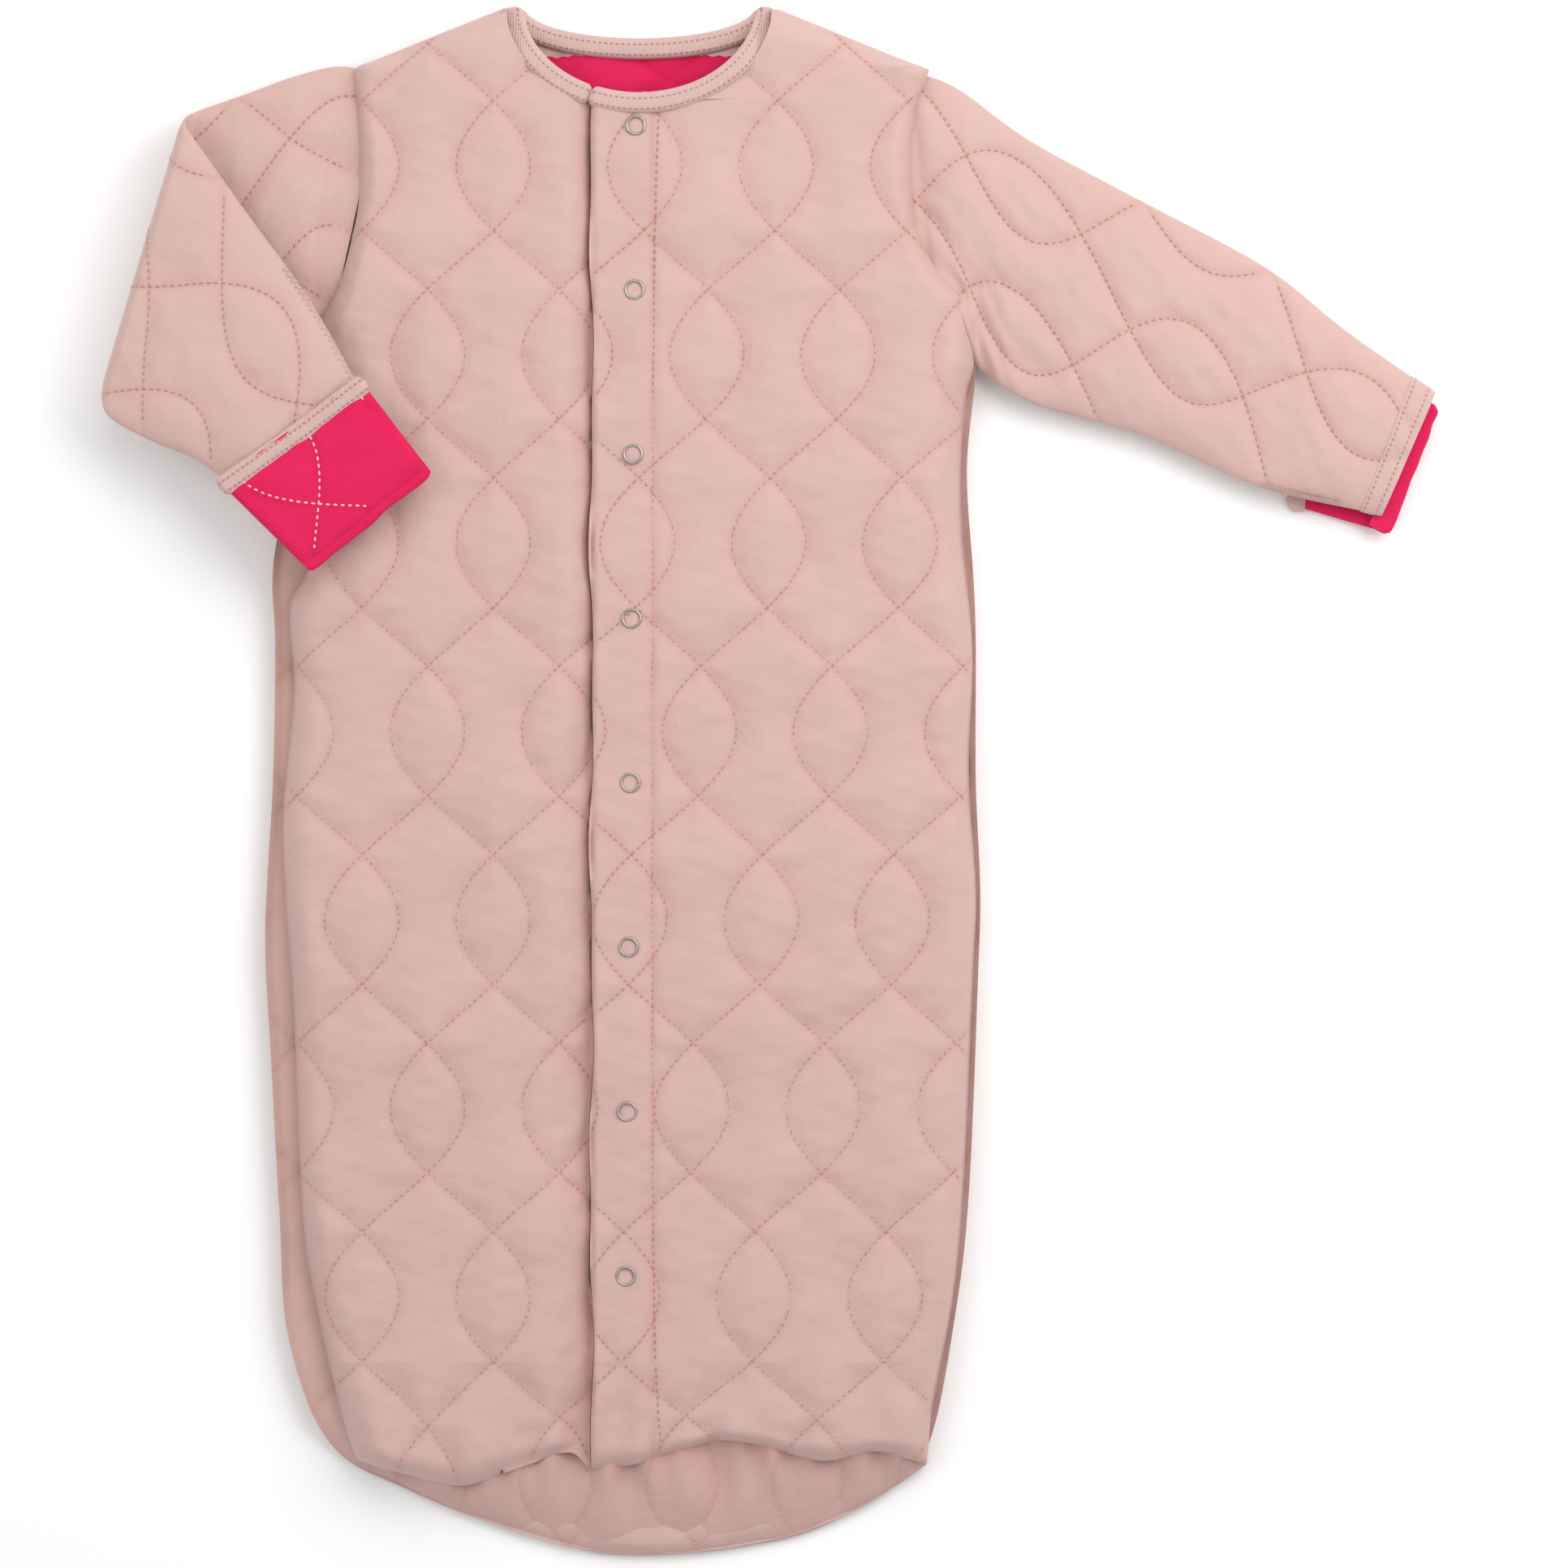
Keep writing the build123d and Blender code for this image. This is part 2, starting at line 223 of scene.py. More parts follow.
def metal(name):
    """Nickel-plated steel with fine wear."""
    material = bpy.data.materials.new(name)
    material.use_nodes = True
    tree = material.node_tree
    shader = tree.nodes["Principled BSDF"]
    shader.inputs["Metallic"].default_value = 1.0
    place = tree.nodes.new("ShaderNodeTexCoord").outputs["Object"]
    wear = node(tree, "ShaderNodeTexNoise", Scale=700.0, Detail=4.0)
    tree.links.new(place, wear.inputs["Vector"])
    tree.links.new(ramp_colour(tree, wear.outputs["Fac"], (0.33, 0.3, 0.27), (0.52, 0.5, 0.47)),
                   shader.inputs["Base Color"])
    rough = node(tree, "ShaderNodeMapRange", To_Min=0.22, To_Max=0.45)
    tree.links.new(wear.outputs["Fac"], rough.inputs["Value"])
    tree.links.new(rough.outputs["Result"], shader.inputs["Roughness"])
    return material


# The second colour of each fabric is the colour of its painted shade.
JERSEY = fabric("pink_jersey", (0.59, 0.387, 0.343), (0.5, 0.235, 0.2), (0.64, 0.43, 0.385))
LINING = fabric("red_lining", (0.66, 0.008, 0.075), (0.42, 0.004, 0.04), (0.74, 0.018, 0.11), sheen=0.05)
RIB = fabric("rib_binding", (0.61, 0.415, 0.37), (0.5, 0.3, 0.26), (0.66, 0.46, 0.42), rib=260.0)
THREAD = thread("pink_thread", (0.43, 0.2, 0.17), (0.52, 0.27, 0.23))
PALE_THREAD = thread("pale_thread", (0.85, 0.5, 0.5), (0.95, 0.65, 0.62))
METAL = metal("snap_metal")


# ---------------------------------------------------------------- shapes in numbers
def smooth_curve(points, count):
    """A Catmull-Rom curve through the points, evenly sampled by length."""
    points = np.asarray(points, float)
    padded = np.vstack((2 * points[0] - points[1], points, 2 * points[-1] - points[-2]))
    dense = []
    for i in range(len(points) - 1):
        p0, p1, p2, p3 = padded[i:i + 4]
        t = np.linspace(0, 1, 40, endpoint=False)[:, None]
        dense.append(0.5 * (2 * p1 + (p2 - p0) * t + (2 * p0 - 5 * p1 + 4 * p2 - p3) * t**2
                            + (3 * p1 - p0 - 3 * p2 + p3) * t**3))
    dense = np.vstack((*dense, points[-1:]))
    run = np.concatenate(((0,), np.cumsum(np.linalg.norm(np.diff(dense, axis=0), axis=1))))
    even = np.linspace(0, run[-1], count)
    return np.stack([np.interp(even, run, dense[:, i]) for i in range(dense.shape[1])], axis=1)


def side_reader(points, neck_side):
    """Gives x for any height y along an outline, with the shoulder seam up to the neck's tip added."""
    curve = smooth_curve(points, 400)
    tip = NECK + np.array((neck_side * (NECK_HALF_WIDTH + BINDING), 0))
    curve = np.vstack((curve, tip))
    order = np.argsort(curve[:, 1], kind="stable")
    return lambda y: np.interp(y, curve[order, 1], curve[order, 0])


def hem_reader(points):
    """Gives y for any x along a lower edge."""
    curve = smooth_curve(points, 300)
    order = np.argsort(curve[:, 0], kind="stable")
    return lambda x: np.interp(x, curve[order, 0], curve[order, 1])


def fold_reader(fold):
    """Gives x for any y on a straight fold line."""
    (top_x, top_y), (low_x, low_y) = fold
    return lambda y: low_x + (np.asarray(y) - low_y) * (top_x - low_x) / (top_y - low_y)


def waves(x, y, size, seed, count=14):
    """Smooth uneven ground, about -1 to 1, with lumps of about the given size."""
    rng = np.random.default_rng(seed)
    total = np.zeros(np.broadcast(x, y).shape)
    for _ in range(count):
        angle = rng.uniform(0, 2 * math.pi)
        turns = 2 * math.pi / (size * rng.uniform(0.7, 1.9))
        total += np.sin((x * math.cos(angle) + y * math.sin(angle)) * turns + rng.uniform(0, 6.28))
    return total / math.sqrt(count) / 1.2


def roll(distance, radius):
    """Rounded edge: 0 at the edge, 1 from the radius inwards."""
    inside = np.clip(distance / radius, 0, 1)
    return np.sqrt(1 - (1 - inside) ** 2)


def quilt_line(quilt, k, y):
    """x of quilting line k at height y."""
    swing = QUILT_SWING * np.sin(2 * math.pi * (y - QUILT_Y) / QUILT_PERIOD)
    return quilt["x"] + k * QUILT_STEP + quilt["lean"] * y + (-1) ** (k % 2) * swing


def quilt_distance(quilt, x, y):
    """Distance to the nearest quilting line."""
    turns = 2 * math.pi / QUILT_PERIOD
    slope = QUILT_SWING * turns * np.cos((y - QUILT_Y) * turns)
    nearest = np.full(np.broadcast(x, y).shape, 1.0)
    for k in range(-9, 10):
        nearest = np.minimum(nearest, np.abs(x - quilt_line(quilt, k, y)) / np.sqrt(1 + slope**2))
    return nearest


def puff(distance):
    """How high the wadding stands at a distance from a stitched line, 0 to 1."""
    return 1 - np.exp(-distance / PUFF_REACH)


# ---------------------------------------------------------------- meshes
def make_mesh(name, vertices, faces, materials, indices=None, valley_shade=None, sharp=60):
    """A mesh object with smooth faces and a painted-shade value at each vertex for its fabric."""
    mesh = bpy.data.meshes.new(name)
    mesh.from_pydata(np.asarray(vertices).tolist(), [], [list(face) for face in faces])
    for material in materials:
        mesh.materials.append(material)
    if indices is not None:
        mesh.polygons.foreach_set("material_index", np.asarray(indices, np.int32))
    if valley_shade is not None:
        mesh.attributes.new("valley_shade", "FLOAT", "POINT").data.foreach_set("value", np.asarray(valley_shade, np.float32))
    mesh.shade_smooth()
    mesh.set_sharp_from_angle(angle=math.radians(sharp))
    mesh.update()
    made = bpy.data.objects.new(name, mesh)
    bpy.context.scene.collection.objects.link(made)
    return made


def grid_faces(rows, columns, offset=0, flip=False):
    """Quads of a grid of vertices, facing up unless flipped."""
    r, c = np.meshgrid(np.arange(rows - 1), np.arange(columns - 1), indexing="ij")
    a = (r * columns + c).ravel() + offset
    quads = np.stack((a, a + 1, a + columns + 1, a + columns), axis=1)
    return quads[:, ::-1] if flip else quads


def shell(top, bottom, valley_shade, under_valley_shade=None):
    """A closed padded piece between two grids: vertices, faces, material indices and painted-shade values.

    Material 0 is on the top and the rim, 1 on the underside.
    """
    rows, columns = top.shape[:2]
    count = rows * columns
    faces = [grid_faces(rows, columns), grid_faces(rows, columns, count, flip=True)]
    r, c = np.arange(rows), np.arange(columns)
    loop = np.concatenate((c, r[1:] * columns + columns - 1, (rows - 1) * columns + c[::-1][1:], r[::-1][1:] * columns))
    a, b = loop[:-1], loop[1:]
    faces.append(np.stack((b, a, a + count, b + count), axis=1))
    indices = np.concatenate((np.zeros(len(faces[0])), np.ones(len(faces[1])), np.zeros(len(faces[2]))))
    vertices = np.concatenate((top.reshape(-1, 3), bottom.reshape(-1, 3)))
    under_valley_shade = valley_shade if under_valley_shade is None else under_valley_shade
    return vertices, np.concatenate(faces), indices, np.concatenate((valley_shade.ravel(), under_valley_shade.ravel()))


def joined(parts):
    """Several shells as one."""
    vertices, faces, indices, valley_shades, start = [], [], [], [], 0
    for part_vertices, part_faces, part_indices, part_valley_shade in parts:
        vertices.append(part_vertices)
        faces.append(part_faces + start)
        indices.append(part_indices)
        valley_shades.append(part_valley_shade)
        start += len(part_vertices)
    return [np.concatenate(group) for group in (vertices, faces, indices, valley_shades)]


def dashes(paths, pitch=STITCH_PITCH, length=STITCH_LENGTH, width=STITCH_WIDTH, lift=0.12 * MM):
    """Stitches along 3-D paths: a slim grain of thread for each."""
    vertices, faces = [], []
    up = np.array((0, 0, 1.0))
    for path in paths:
        if len(path) < 2:
            continue
        run = np.concatenate(((0,), np.cumsum(np.linalg.norm(np.diff(path, axis=0), axis=1))))
        starts = np.arange(0.3 * pitch, run[-1] - length, pitch)
        for start in starts:
            ends = [np.array([np.interp(start + s, run, path[:, i]) for i in range(3)]) for s in (0, length)]
            along = ends[1] - ends[0]
            size = np.linalg.norm(along)
            if size < 0.2 * length:
                continue
            side = np.cross(along / size, up)
            side_size = np.linalg.norm(side)
            side = side / side_size if side_size > 0.2 else np.array((1.0, 0, 0))
            rise = np.cross(side, along / size)
            first = len(vertices)
            middle = (ends[0] + ends[1]) / 2 + rise * lift
            vertices.append(ends[0] - rise * lift)
            for share in (0.3, 0.7):
                here = ends[0] + along * share + rise * lift
                vertices.extend((here + side * width, here + rise * width, here - side * width, here - rise * width))
            vertices.append(ends[1] - rise * lift)
            for i in range(4):
                j = (i + 1) % 4
                faces.append((first, first + 1 + j, first + 1 + i))
                faces.append((first + 1 + i, first + 1 + j, first + 5 + j))
                faces.append((first + 1 + i, first + 5 + j, first + 5 + i))
                faces.append((first + 5 + i, first + 5 + j, first + 9))
    return np.array(vertices).reshape(-1, 3), np.array(faces).reshape(-1, 3)


def split_runs(points, keep):
    """Stretches of a path where keep holds."""
    runs, current = [], []
    for point, inside in zip(points, keep):
        if inside:
            current.append(point)
        elif current:
            runs.append(np.array(current))
            current = []
    if current:
        runs.append(np.array(current))
    return [run for run in runs if len(run) > 3]


# ---------------------------------------------------------------- the opening's numbers, baking a lapel piece, and a pass-through
def opening(side):
    """Body, start and end of the twist that lets a half of the front open from the neck down."""
    fold, body = (OVERLAP_FOLD, "overlap") if side == "right" else (UNDERLAP_FOLD, "underlap")
    line = fold_reader(fold)
    start = (float(line(PLACKET_LOW_Y)), PLACKET_LOW_Y, FRONT_TOP)
    end = (float(line(OPENING_FREE_Y)), OPENING_FREE_Y, FRONT_TOP)
    return body, start, end


def on_lapel(piece, side):
    """Bakes the piece's transform into its mesh; the opening's body, start and end are worked out but not used."""
    body, start, end = opening(side)
    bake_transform(piece)
    return piece


def slots(piece):
    """Returns the piece as it is."""
    return piece


# ---------------------------------------------------------------- front and back panels
FRONT_EDGES = {"right": side_reader(FRONT_RIGHT, 1), "left": side_reader(FRONT_LEFT, -1)}
BACK_EDGES = {"right": side_reader(BACK_RIGHT, 1), "left": side_reader(BACK_LEFT, -1)}
FRONT_HEM_Y = hem_reader(FRONT_HEM)
FOOT_HEM_Y = hem_reader(FOOT_HEM)


def edge_distance(edge, x, y):
    """Distance from a point to an outline, measured square to it."""
    slope = (edge(y + MM) - edge(y - MM)) / (2 * MM)
    return np.abs(edge(y) - x) / np.sqrt(1 + slope**2)


def neckline(y, side, margin):
    """x of the front neckline at height y on one side."""
    height = np.clip((NECK[1] - y) / (FRONT_NECK_DEPTH + margin), -1, 1)
    sign = 1 if side == "right" else -1
    return NECK[0] + sign * (NECK_HALF_WIDTH + margin) * np.sqrt(1 - height**2)


def free_edge(side):
    """x of the placket's edge, then of the neckline, going up."""
    lap = FREE_EDGE_X if side == "right" else FREE_EDGE_X - 0.4 * MM
    corner = 304 * MM

    def x_at(y):
        wobble = 0.8 * MM * np.sin(y * 43) + 0.5 * MM * np.sin(y * 97 + 1)
        return np.where(y < corner, lap + wobble, neckline(y, side, BINDING))

    return x_at


def hem_shift(x, y):
    """Pulls the lowest rows onto the wavy hem."""
    near = np.clip(1 - (y - FOOT_Y) / (45 * MM), 0, 1) ** 2
    return y + (FRONT_HEM_Y(x) - FOOT_Y) * near


def front_heights(x, y, side):
    """Upper and lower surface of the front, and the painted shade at each point: in the stitched valleys, along the
    rolled edge and at the placket seam, and on the underlap beside the overlap's edge.
    """
    outer = FRONT_EDGES[side]
    side_gap = edge_distance(outer, x, y)
    hem_gap = y - FOOT_Y
    free_gap = np.abs(x - FREE_EDGE_X)
    quilt = QUILT_RIGHT if side == "right" else QUILT_LEFT
    gap = quilt_distance(quilt, x, y)
    arm = np.clip((y - 195 * MM) / (20 * MM), 0, 1) * np.clip((325 * MM - y) / (8 * MM), 0, 1)
    edge_height = SEAM_HEIGHT + 7 * MM * arm
    rounded = roll(side_gap, 15 * MM - 6 * MM * arm) * roll(hem_gap + 1 * MM, 9 * MM)
    swell = puff(gap) * np.minimum(1, side_gap / (8 * MM)) * np.minimum(1, (hem_gap + 2 * MM) / (10 * MM))
    ground = 1.3 * MM * waves(x, y, 95 * MM, 3) + 0.7 * MM * waves(x, y, 38 * MM, 4)
    ground += 0.28 * MM * waves(x, y, 13 * MM, 5)
    creases = 2.1 * MM * waves(x * 2.2, y * 0.7, 46 * MM, 8) * np.clip(1 - hem_gap / (60 * MM), 0, 1)
    top = edge_height + (FRONT_TOP - edge_height) * rounded + PUFF * (swell - 0.55) * rounded
    top += (ground + creases) * np.minimum(1, side_gap / (10 * MM))
    # Painted shade in the stitched valleys and along the rolled outer edge.
    valley_shade = np.exp(-gap / (0.9 * MM)) * 0.4 + np.exp(-side_gap / (2 * MM)) * 0.12
    if side == "right":
        strip = np.clip(1 - (x - PLACKET_SEAM_X) / (3 * MM), 0, 1)
        seam = np.abs(x - PLACKET_SEAM_X)
        top -= 1.3 * MM * np.exp(-seam / (1.8 * MM))
        top -= 0.5 * PUFF * (swell - 0.55) * strip
        # Painted shade along the dent of the placket seam.
        valley_shade += 0.35 * np.exp(-seam / (1.3 * MM))
        lower = np.clip((60 * MM - y) / (200 * MM), 0, 1)
        top += (1.2 * MM + 1.8 * MM * lower) * np.exp(-free_gap / (9 * MM)) * (1 + 0.5 * waves(x * 0.2, y, 70 * MM, 6))
        edge_roll = roll(free_gap + 0.15 * MM, 3.2 * MM)
        top = (FRONT_UNDER + 1 * MM) + (top - FRONT_UNDER - 1 * MM) * edge_roll
    else:
        lower = np.clip((60 * MM - y) / (200 * MM), 0, 1)
        slope = np.clip(1 - free_gap / ((14 * MM) + 16 * MM * lower), 0, 1)
        top -= 6.5 * MM * slope**2
        # Painted shadow of the overlap's free edge on the underlap.
        valley_shade += 0.25 * slope**3
    under = FRONT_UNDER - 0.35 * PUFF * (swell - 0.5) + 0.5 * ground
    under = np.where(rounded < 1, np.minimum(under, top), under)
    under = np.minimum(under, top - 0.8 * MM)
    if side == "left":
        above_strip = free_gap < 40 * MM
        under = np.where(above_strip, np.maximum(under, 17.2 * MM), under)
        top = np.where(above_strip, np.maximum(top, under + 0.5 * MM), top)
    return top, under, np.clip(valley_shade, 0, 1)


def front_grid(left, right, low, high, side):
    """A stretch of the front between two edges, as grids of its upper and lower surface."""
    rows = max(3, int(abs(high - low) / CELL))
    y = np.linspace(low, high, rows)
    width = float(np.max(right(y) - left(y)))
    columns = max(4, int(width / CELL))
    share = np.linspace(0, 1, columns)
    x = left(y)[:, None] + (right(y) - left(y))[:, None] * share
    y = np.repeat(y[:, None], columns, axis=1)
    top, under, valley_shade = front_heights(x, y, side)
    placed = hem_shift(x, y)
    return np.stack((x, placed, top), axis=2), np.stack((x, placed, under), axis=2), valley_shade


def facing_index(part, side):
    """The inside of the placket is jersey, the rest of the inside is lining."""
    vertices, faces, indices, valley_shade = part
    middle = vertices[faces].mean(axis=1)
    near_edge = np.abs(middle[:, 0] - FREE_EDGE_X) < (PLACKET_SEAM_X - FREE_EDGE_X)
    if side == "right":
        indices = np.where(near_edge, 0, indices)
    return vertices, faces, indices, valley_shade


def front_half(side):
    """The fixed part and the opening part of one half of the front."""
    outer = FRONT_EDGES[side]
    fold = fold_reader(OVERLAP_FOLD if side == "right" else UNDERLAP_FOLD)
    inner = free_edge(side)
    high = NECK[1] - 1.6 * MM
    spans = {"fixed": (fold, outer), "opening": (inner, fold), "lower": (inner, outer)}
    if side == "left":
        spans = {name: (b, a) for name, (a, b) in spans.items()}
    fixed = [shell(*front_grid(*spans["fixed"], PLACKET_LOW_Y, high, side)),
             shell(*front_grid(*spans["lower"], FOOT_Y, PLACKET_LOW_Y, side))]
    if side == "right":
        fixed[1] = facing_index(fixed[1], side)
    vertices, faces, indices, valley_shade = joined(fixed)
    panel = make_mesh(f"front_{side}_panel", vertices, faces, (JERSEY, LINING), indices, valley_shade)
    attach(panel, "bag")
    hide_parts(*[f"front_{side}_{layer}" for layer in ("jersey", "wadding", "lining")])
    slots(panel)

    part = facing_index(shell(*front_grid(*spans["opening"], PLACKET_LOW_Y, high, side)), side)
    vertices, faces, indices, valley_shade = part
    name = "overlap" if side == "right" else "underlap"
    lapel = make_mesh(f"front_{name}", vertices, faces, (JERSEY, LINING), indices, valley_shade)
    on_lapel(lapel, side)
    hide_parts(*[f"{name}_{layer}" for layer in ("jersey", "wadding", "lining")])
    slots(lapel)
    return panel, lapel


def front_stitches(side):
    """Quilting stitches on one half of the front, divided at the fold."""
    quilt = QUILT_RIGHT if side == "right" else QUILT_LEFT
    fold = fold_reader(OVERLAP_FOLD if side == "right" else UNDERLAP_FOLD)
    outer = FRONT_EDGES[side]
    inner = free_edge(side)
    y = np.arange(FOOT_Y + 4 * MM, NECK[1], 0.8 * MM)
    groups = {"fixed": [], "opening": []}
    lines = [quilt_line(quilt, k, y) for k in range(-8, 9)]
    if side == "right":
        lines.append(np.where(y < 0, PLACKET_SEAM_X + 4 * MM * (y / FOOT_Y) ** 6, PLACKET_SEAM_X + 5 * MM * (y / NECK[1]) ** 4))
    for x in lines:
        top, _, _ = front_heights(x, y, side)
        points = np.stack((x, hem_shift(x, y), top), axis=1)
        inside = (x < outer(y) - 2 * MM) & (x > inner(y) + 1 * MM)
        if side == "left":
            inside = (x > outer(y) + 2 * MM) & (x < inner(y) - 1 * MM)
        beyond = (x < fold(y)) if side == "right" else (x > fold(y))
        moving = inside & beyond & (y > PLACKET_LOW_Y)
        groups["fixed"] += split_runs(points, inside & ~moving)
        groups["opening"] += split_runs(points, moving)
    for kind, paths in groups.items():
        made = make_mesh(f"quilting_front_{side}_{kind}", *dashes(paths), (THREAD,))
        slots(made)
        if kind == "fixed":
            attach(made, "bag")
        else:
            on_lapel(made, side)


def back_grid():
    """The back panel: its floor side and its lining side."""
    low, high = BACK_LEFT[0][1], NECK[1] - 1 * MM
    rows = int((high - low) / (2.1 * MM))
    spread = np.linspace(0, 1, rows)
    y = low + (high - low) * spread**1.15
    y[0] += 0.4 * MM
    columns = 140
    share = np.linspace(0, 1, columns)
    left, right = BACK_EDGES["left"](y), BACK_EDGES["right"](y)
    x = left[:, None] + (right - left)[:, None] * share
    y = np.repeat(y[:, None], columns, axis=1)
    side_gap = np.minimum(edge_distance(BACK_EDGES["left"], x, y), edge_distance(BACK_EDGES["right"], x, y))
    gap = quilt_distance(QUILT_RIGHT, -x, y)
    arm = np.clip((y - 195 * MM) / (20 * MM), 0, 1)
    rounded = roll(side_gap, 15 * MM)
    swell = puff(gap) * np.minimum(1, side_gap / (8 * MM))
    ground = 0.8 * MM * waves(x, y, 80 * MM, 13) + 0.25 * MM * waves(x, y, 15 * MM, 15)
    edge_height = 10 * MM - 3 * MM * arm - 7.4 * MM * np.clip((-285 * MM - y) / (18 * MM), 0, 1)
    floor = edge_height * (1 - rounded) + 2.2 * MM * (1 - swell) * rounded + 0.3 * MM
    inside = BACK_INSIDE + (swell - 0.5) * 0.6 * PUFF + 0.5 * ground
    inside = np.maximum(inside + (edge_height - BACK_INSIDE) * (1 - rounded), floor + 0.9 * MM)
    notch = BACK_NECK_DEPTH + BINDING
    reach = np.clip(1 - ((x - NECK[0]) / (NECK_HALF_WIDTH + BINDING)) ** 2, 0, 1)
    drop = notch * np.sqrt(reach) * np.clip((y - 250 * MM) / (98 * MM), 0, 1) ** 2
    placed = y - drop
    # Painted shade in the stitched valleys and along the rolled edge.
    valley_shade = np.clip(np.exp(-gap / (0.9 * MM)) * 0.4 + np.exp(-side_gap / (2 * MM)) * 0.1, 0, 1)
    outside = (side_gap < 16 * MM) | (y < -285 * MM)
    return np.stack((x, placed, inside), axis=2), np.stack((x, placed, floor), axis=2), valley_shade, outside


def back_panel():
    """Back panel, lining side up."""
    top, floor, valley_shade, outside = back_grid()
    vertices, faces, indices, valley_shades = shell(top, floor, valley_shade)
    lined = ~outside[:-1, :-1].ravel()
    indices = np.zeros(len(faces))
    indices[:len(lined)] = lined
    panel = make_mesh("back_panel", vertices, faces, (JERSEY, LINING), indices, valley_shades)
    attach(panel, "bag")
    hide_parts("back_jersey", "back_wadding", "back_lining", "side_seam_right", "side_seam_left",
                "shoulder_seams")
    slots(panel)
    paths, pale = [], []
    rows = top.shape[0]
    levels = top[:, 0, 1]
    for k in range(-9, 10):
        y = np.arange(BACK_LEFT[0][1] + 8 * MM, NECK[1] - 26 * MM, 0.9 * MM)
        x = -quilt_line(QUILT_RIGHT, k, y)
        left, right = BACK_EDGES["left"](y), BACK_EDGES["right"](y)
        share = (x - left) / (right - left)
        inside = (share > 0.012) & (share < 0.988)
        row = np.clip(np.round(np.interp(y, levels, np.arange(rows))), 0, rows - 1).astype(int)
        column = np.clip(np.round(share * (top.shape[1] - 1)), 0, top.shape[1] - 1).astype(int)
        drop = y - top[row, column, 1]
        below = np.stack((x, y - np.clip(drop, 0, 1), floor[row, column, 2]), axis=1)
        above = np.stack((x, y - np.clip(drop, 0, 1), top[row, column, 2]), axis=1)
        paths += split_runs(below, inside)
        pale += split_runs(above, inside & (y > 240 * MM))
    made = make_mesh("quilting_back", *dashes(paths, lift=-0.2 * MM), (THREAD,))
    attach(slots(made), "bag")
    made = make_mesh("quilting_back_lining", *dashes(pale), (PALE_THREAD,))
    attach(slots(made), "bag")


def foot_panel():
    """The foot panel comes out from under the front's gathered hem and curves down to the back."""
    columns, rows = 190, 46
    share = np.linspace(0.004, 0.996, columns)
    x = np.repeat((FOOT_HEM[0][0] + (FOOT_HEM[-1][0] - FOOT_HEM[0][0]) * share)[None, :], rows, axis=0)
    v = np.repeat(np.linspace(0, 1, rows)[:, None], columns, axis=1)
    low = FOOT_HEM_Y(x)
    high = FRONT_HEM_Y(x) + 9 * MM
    y = low + (high - low) * v
    side_gap = np.minimum(x - FOOT_HEM[0][0], FOOT_HEM[-1][0] - x)
    gap = quilt_distance(QUILT_RIGHT, x * 1.04, y)
    gathers = waves(x, y * 0.2, 15 * MM, 31) * 3.4 * MM * v**1.2
    gathers += waves(x, y, 30 * MM, 32) * 0.9 * MM
    dome = 2 * MM + 14 * MM * np.sin(np.clip(v, 0, 1) * math.pi / 2) ** 0.75
    top = dome + PUFF * 0.8 * (puff(gap) - 0.5) * np.sin(v * math.pi) + gathers
    top = 6 * MM + (top - 6 * MM) * roll(side_gap, 22 * MM)
    top = np.maximum(top, 1.2 * MM)
    under = np.maximum(top - 5 * MM * np.sin(np.clip(v, 0.02, 0.98) * math.pi) - 0.7 * MM, 0.4 * MM)
    # Painted shade: in the stitched valleys, deepest under the front's hem, and a little over the whole foot.
    valley_shade = np.clip(np.exp(-gap / (0.9 * MM)) * 0.4 + np.exp(-(1 - v) * 9) * 0.5 + 0.14, 0, 1)
    vertices, faces, indices, valley_shades = shell(np.stack((x, y, top), axis=2), np.stack((x, y, under), axis=2), valley_shade)
    panel = make_mesh("foot_panel", vertices, faces, (JERSEY, LINING), indices, valley_shades)
    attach(panel, "bag")
    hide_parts("foot_jersey", "foot_wadding", "foot_lining")
    slots(panel)


# ---------------------------------------------------------------- sleeves
class Sleeve:
    """A flat padded tube that follows a path in the plane across the elbow crease.

    Grid rows run along the sleeve, columns run round it from the shoulder-side edge over the front.
    """

    def __init__(self, top_edge, low_edge, rows, columns, seed):
        self.top_edge = smooth_curve(top_edge, rows)
        self.low_edge = smooth_curve(low_edge, rows)
        self.rows, self.columns, self.seed = rows, columns, seed
        self.round = np.linspace(0, 2 * math.pi, columns, endpoint=False)
        self.share = (1 - np.cos(self.round)) / 2
        middle = (self.top_edge + self.low_edge) / 2
        self.run = np.concatenate(((0,), np.cumsum(np.linalg.norm(np.diff(middle, axis=0), axis=1))))

    def thickness(self, side, along, half):
        """Signed height above the sleeve's middle for a share across and a length along."""
        width = np.linalg.norm(self.top_edge - self.low_edge, axis=1)
        across = side * np.interp(along, self.run, width)
        gap = quilt_distance({"x": 14 * MM, "lean": 0.0}, across, along + self.seed * 20 * MM)
        body = np.clip(1 - np.abs(2 * side - 1) ** 2.6, 0, 1) ** 0.5
        swell = PUFF * 0.9 * (puff(gap) - 0.6) * body
        ground = 0.9 * MM * waves(across, along, 60 * MM, self.seed) + 0.3 * MM * waves(across, along, 14 * MM, self.seed + 1)
        return half * body + swell + ground * body, gap


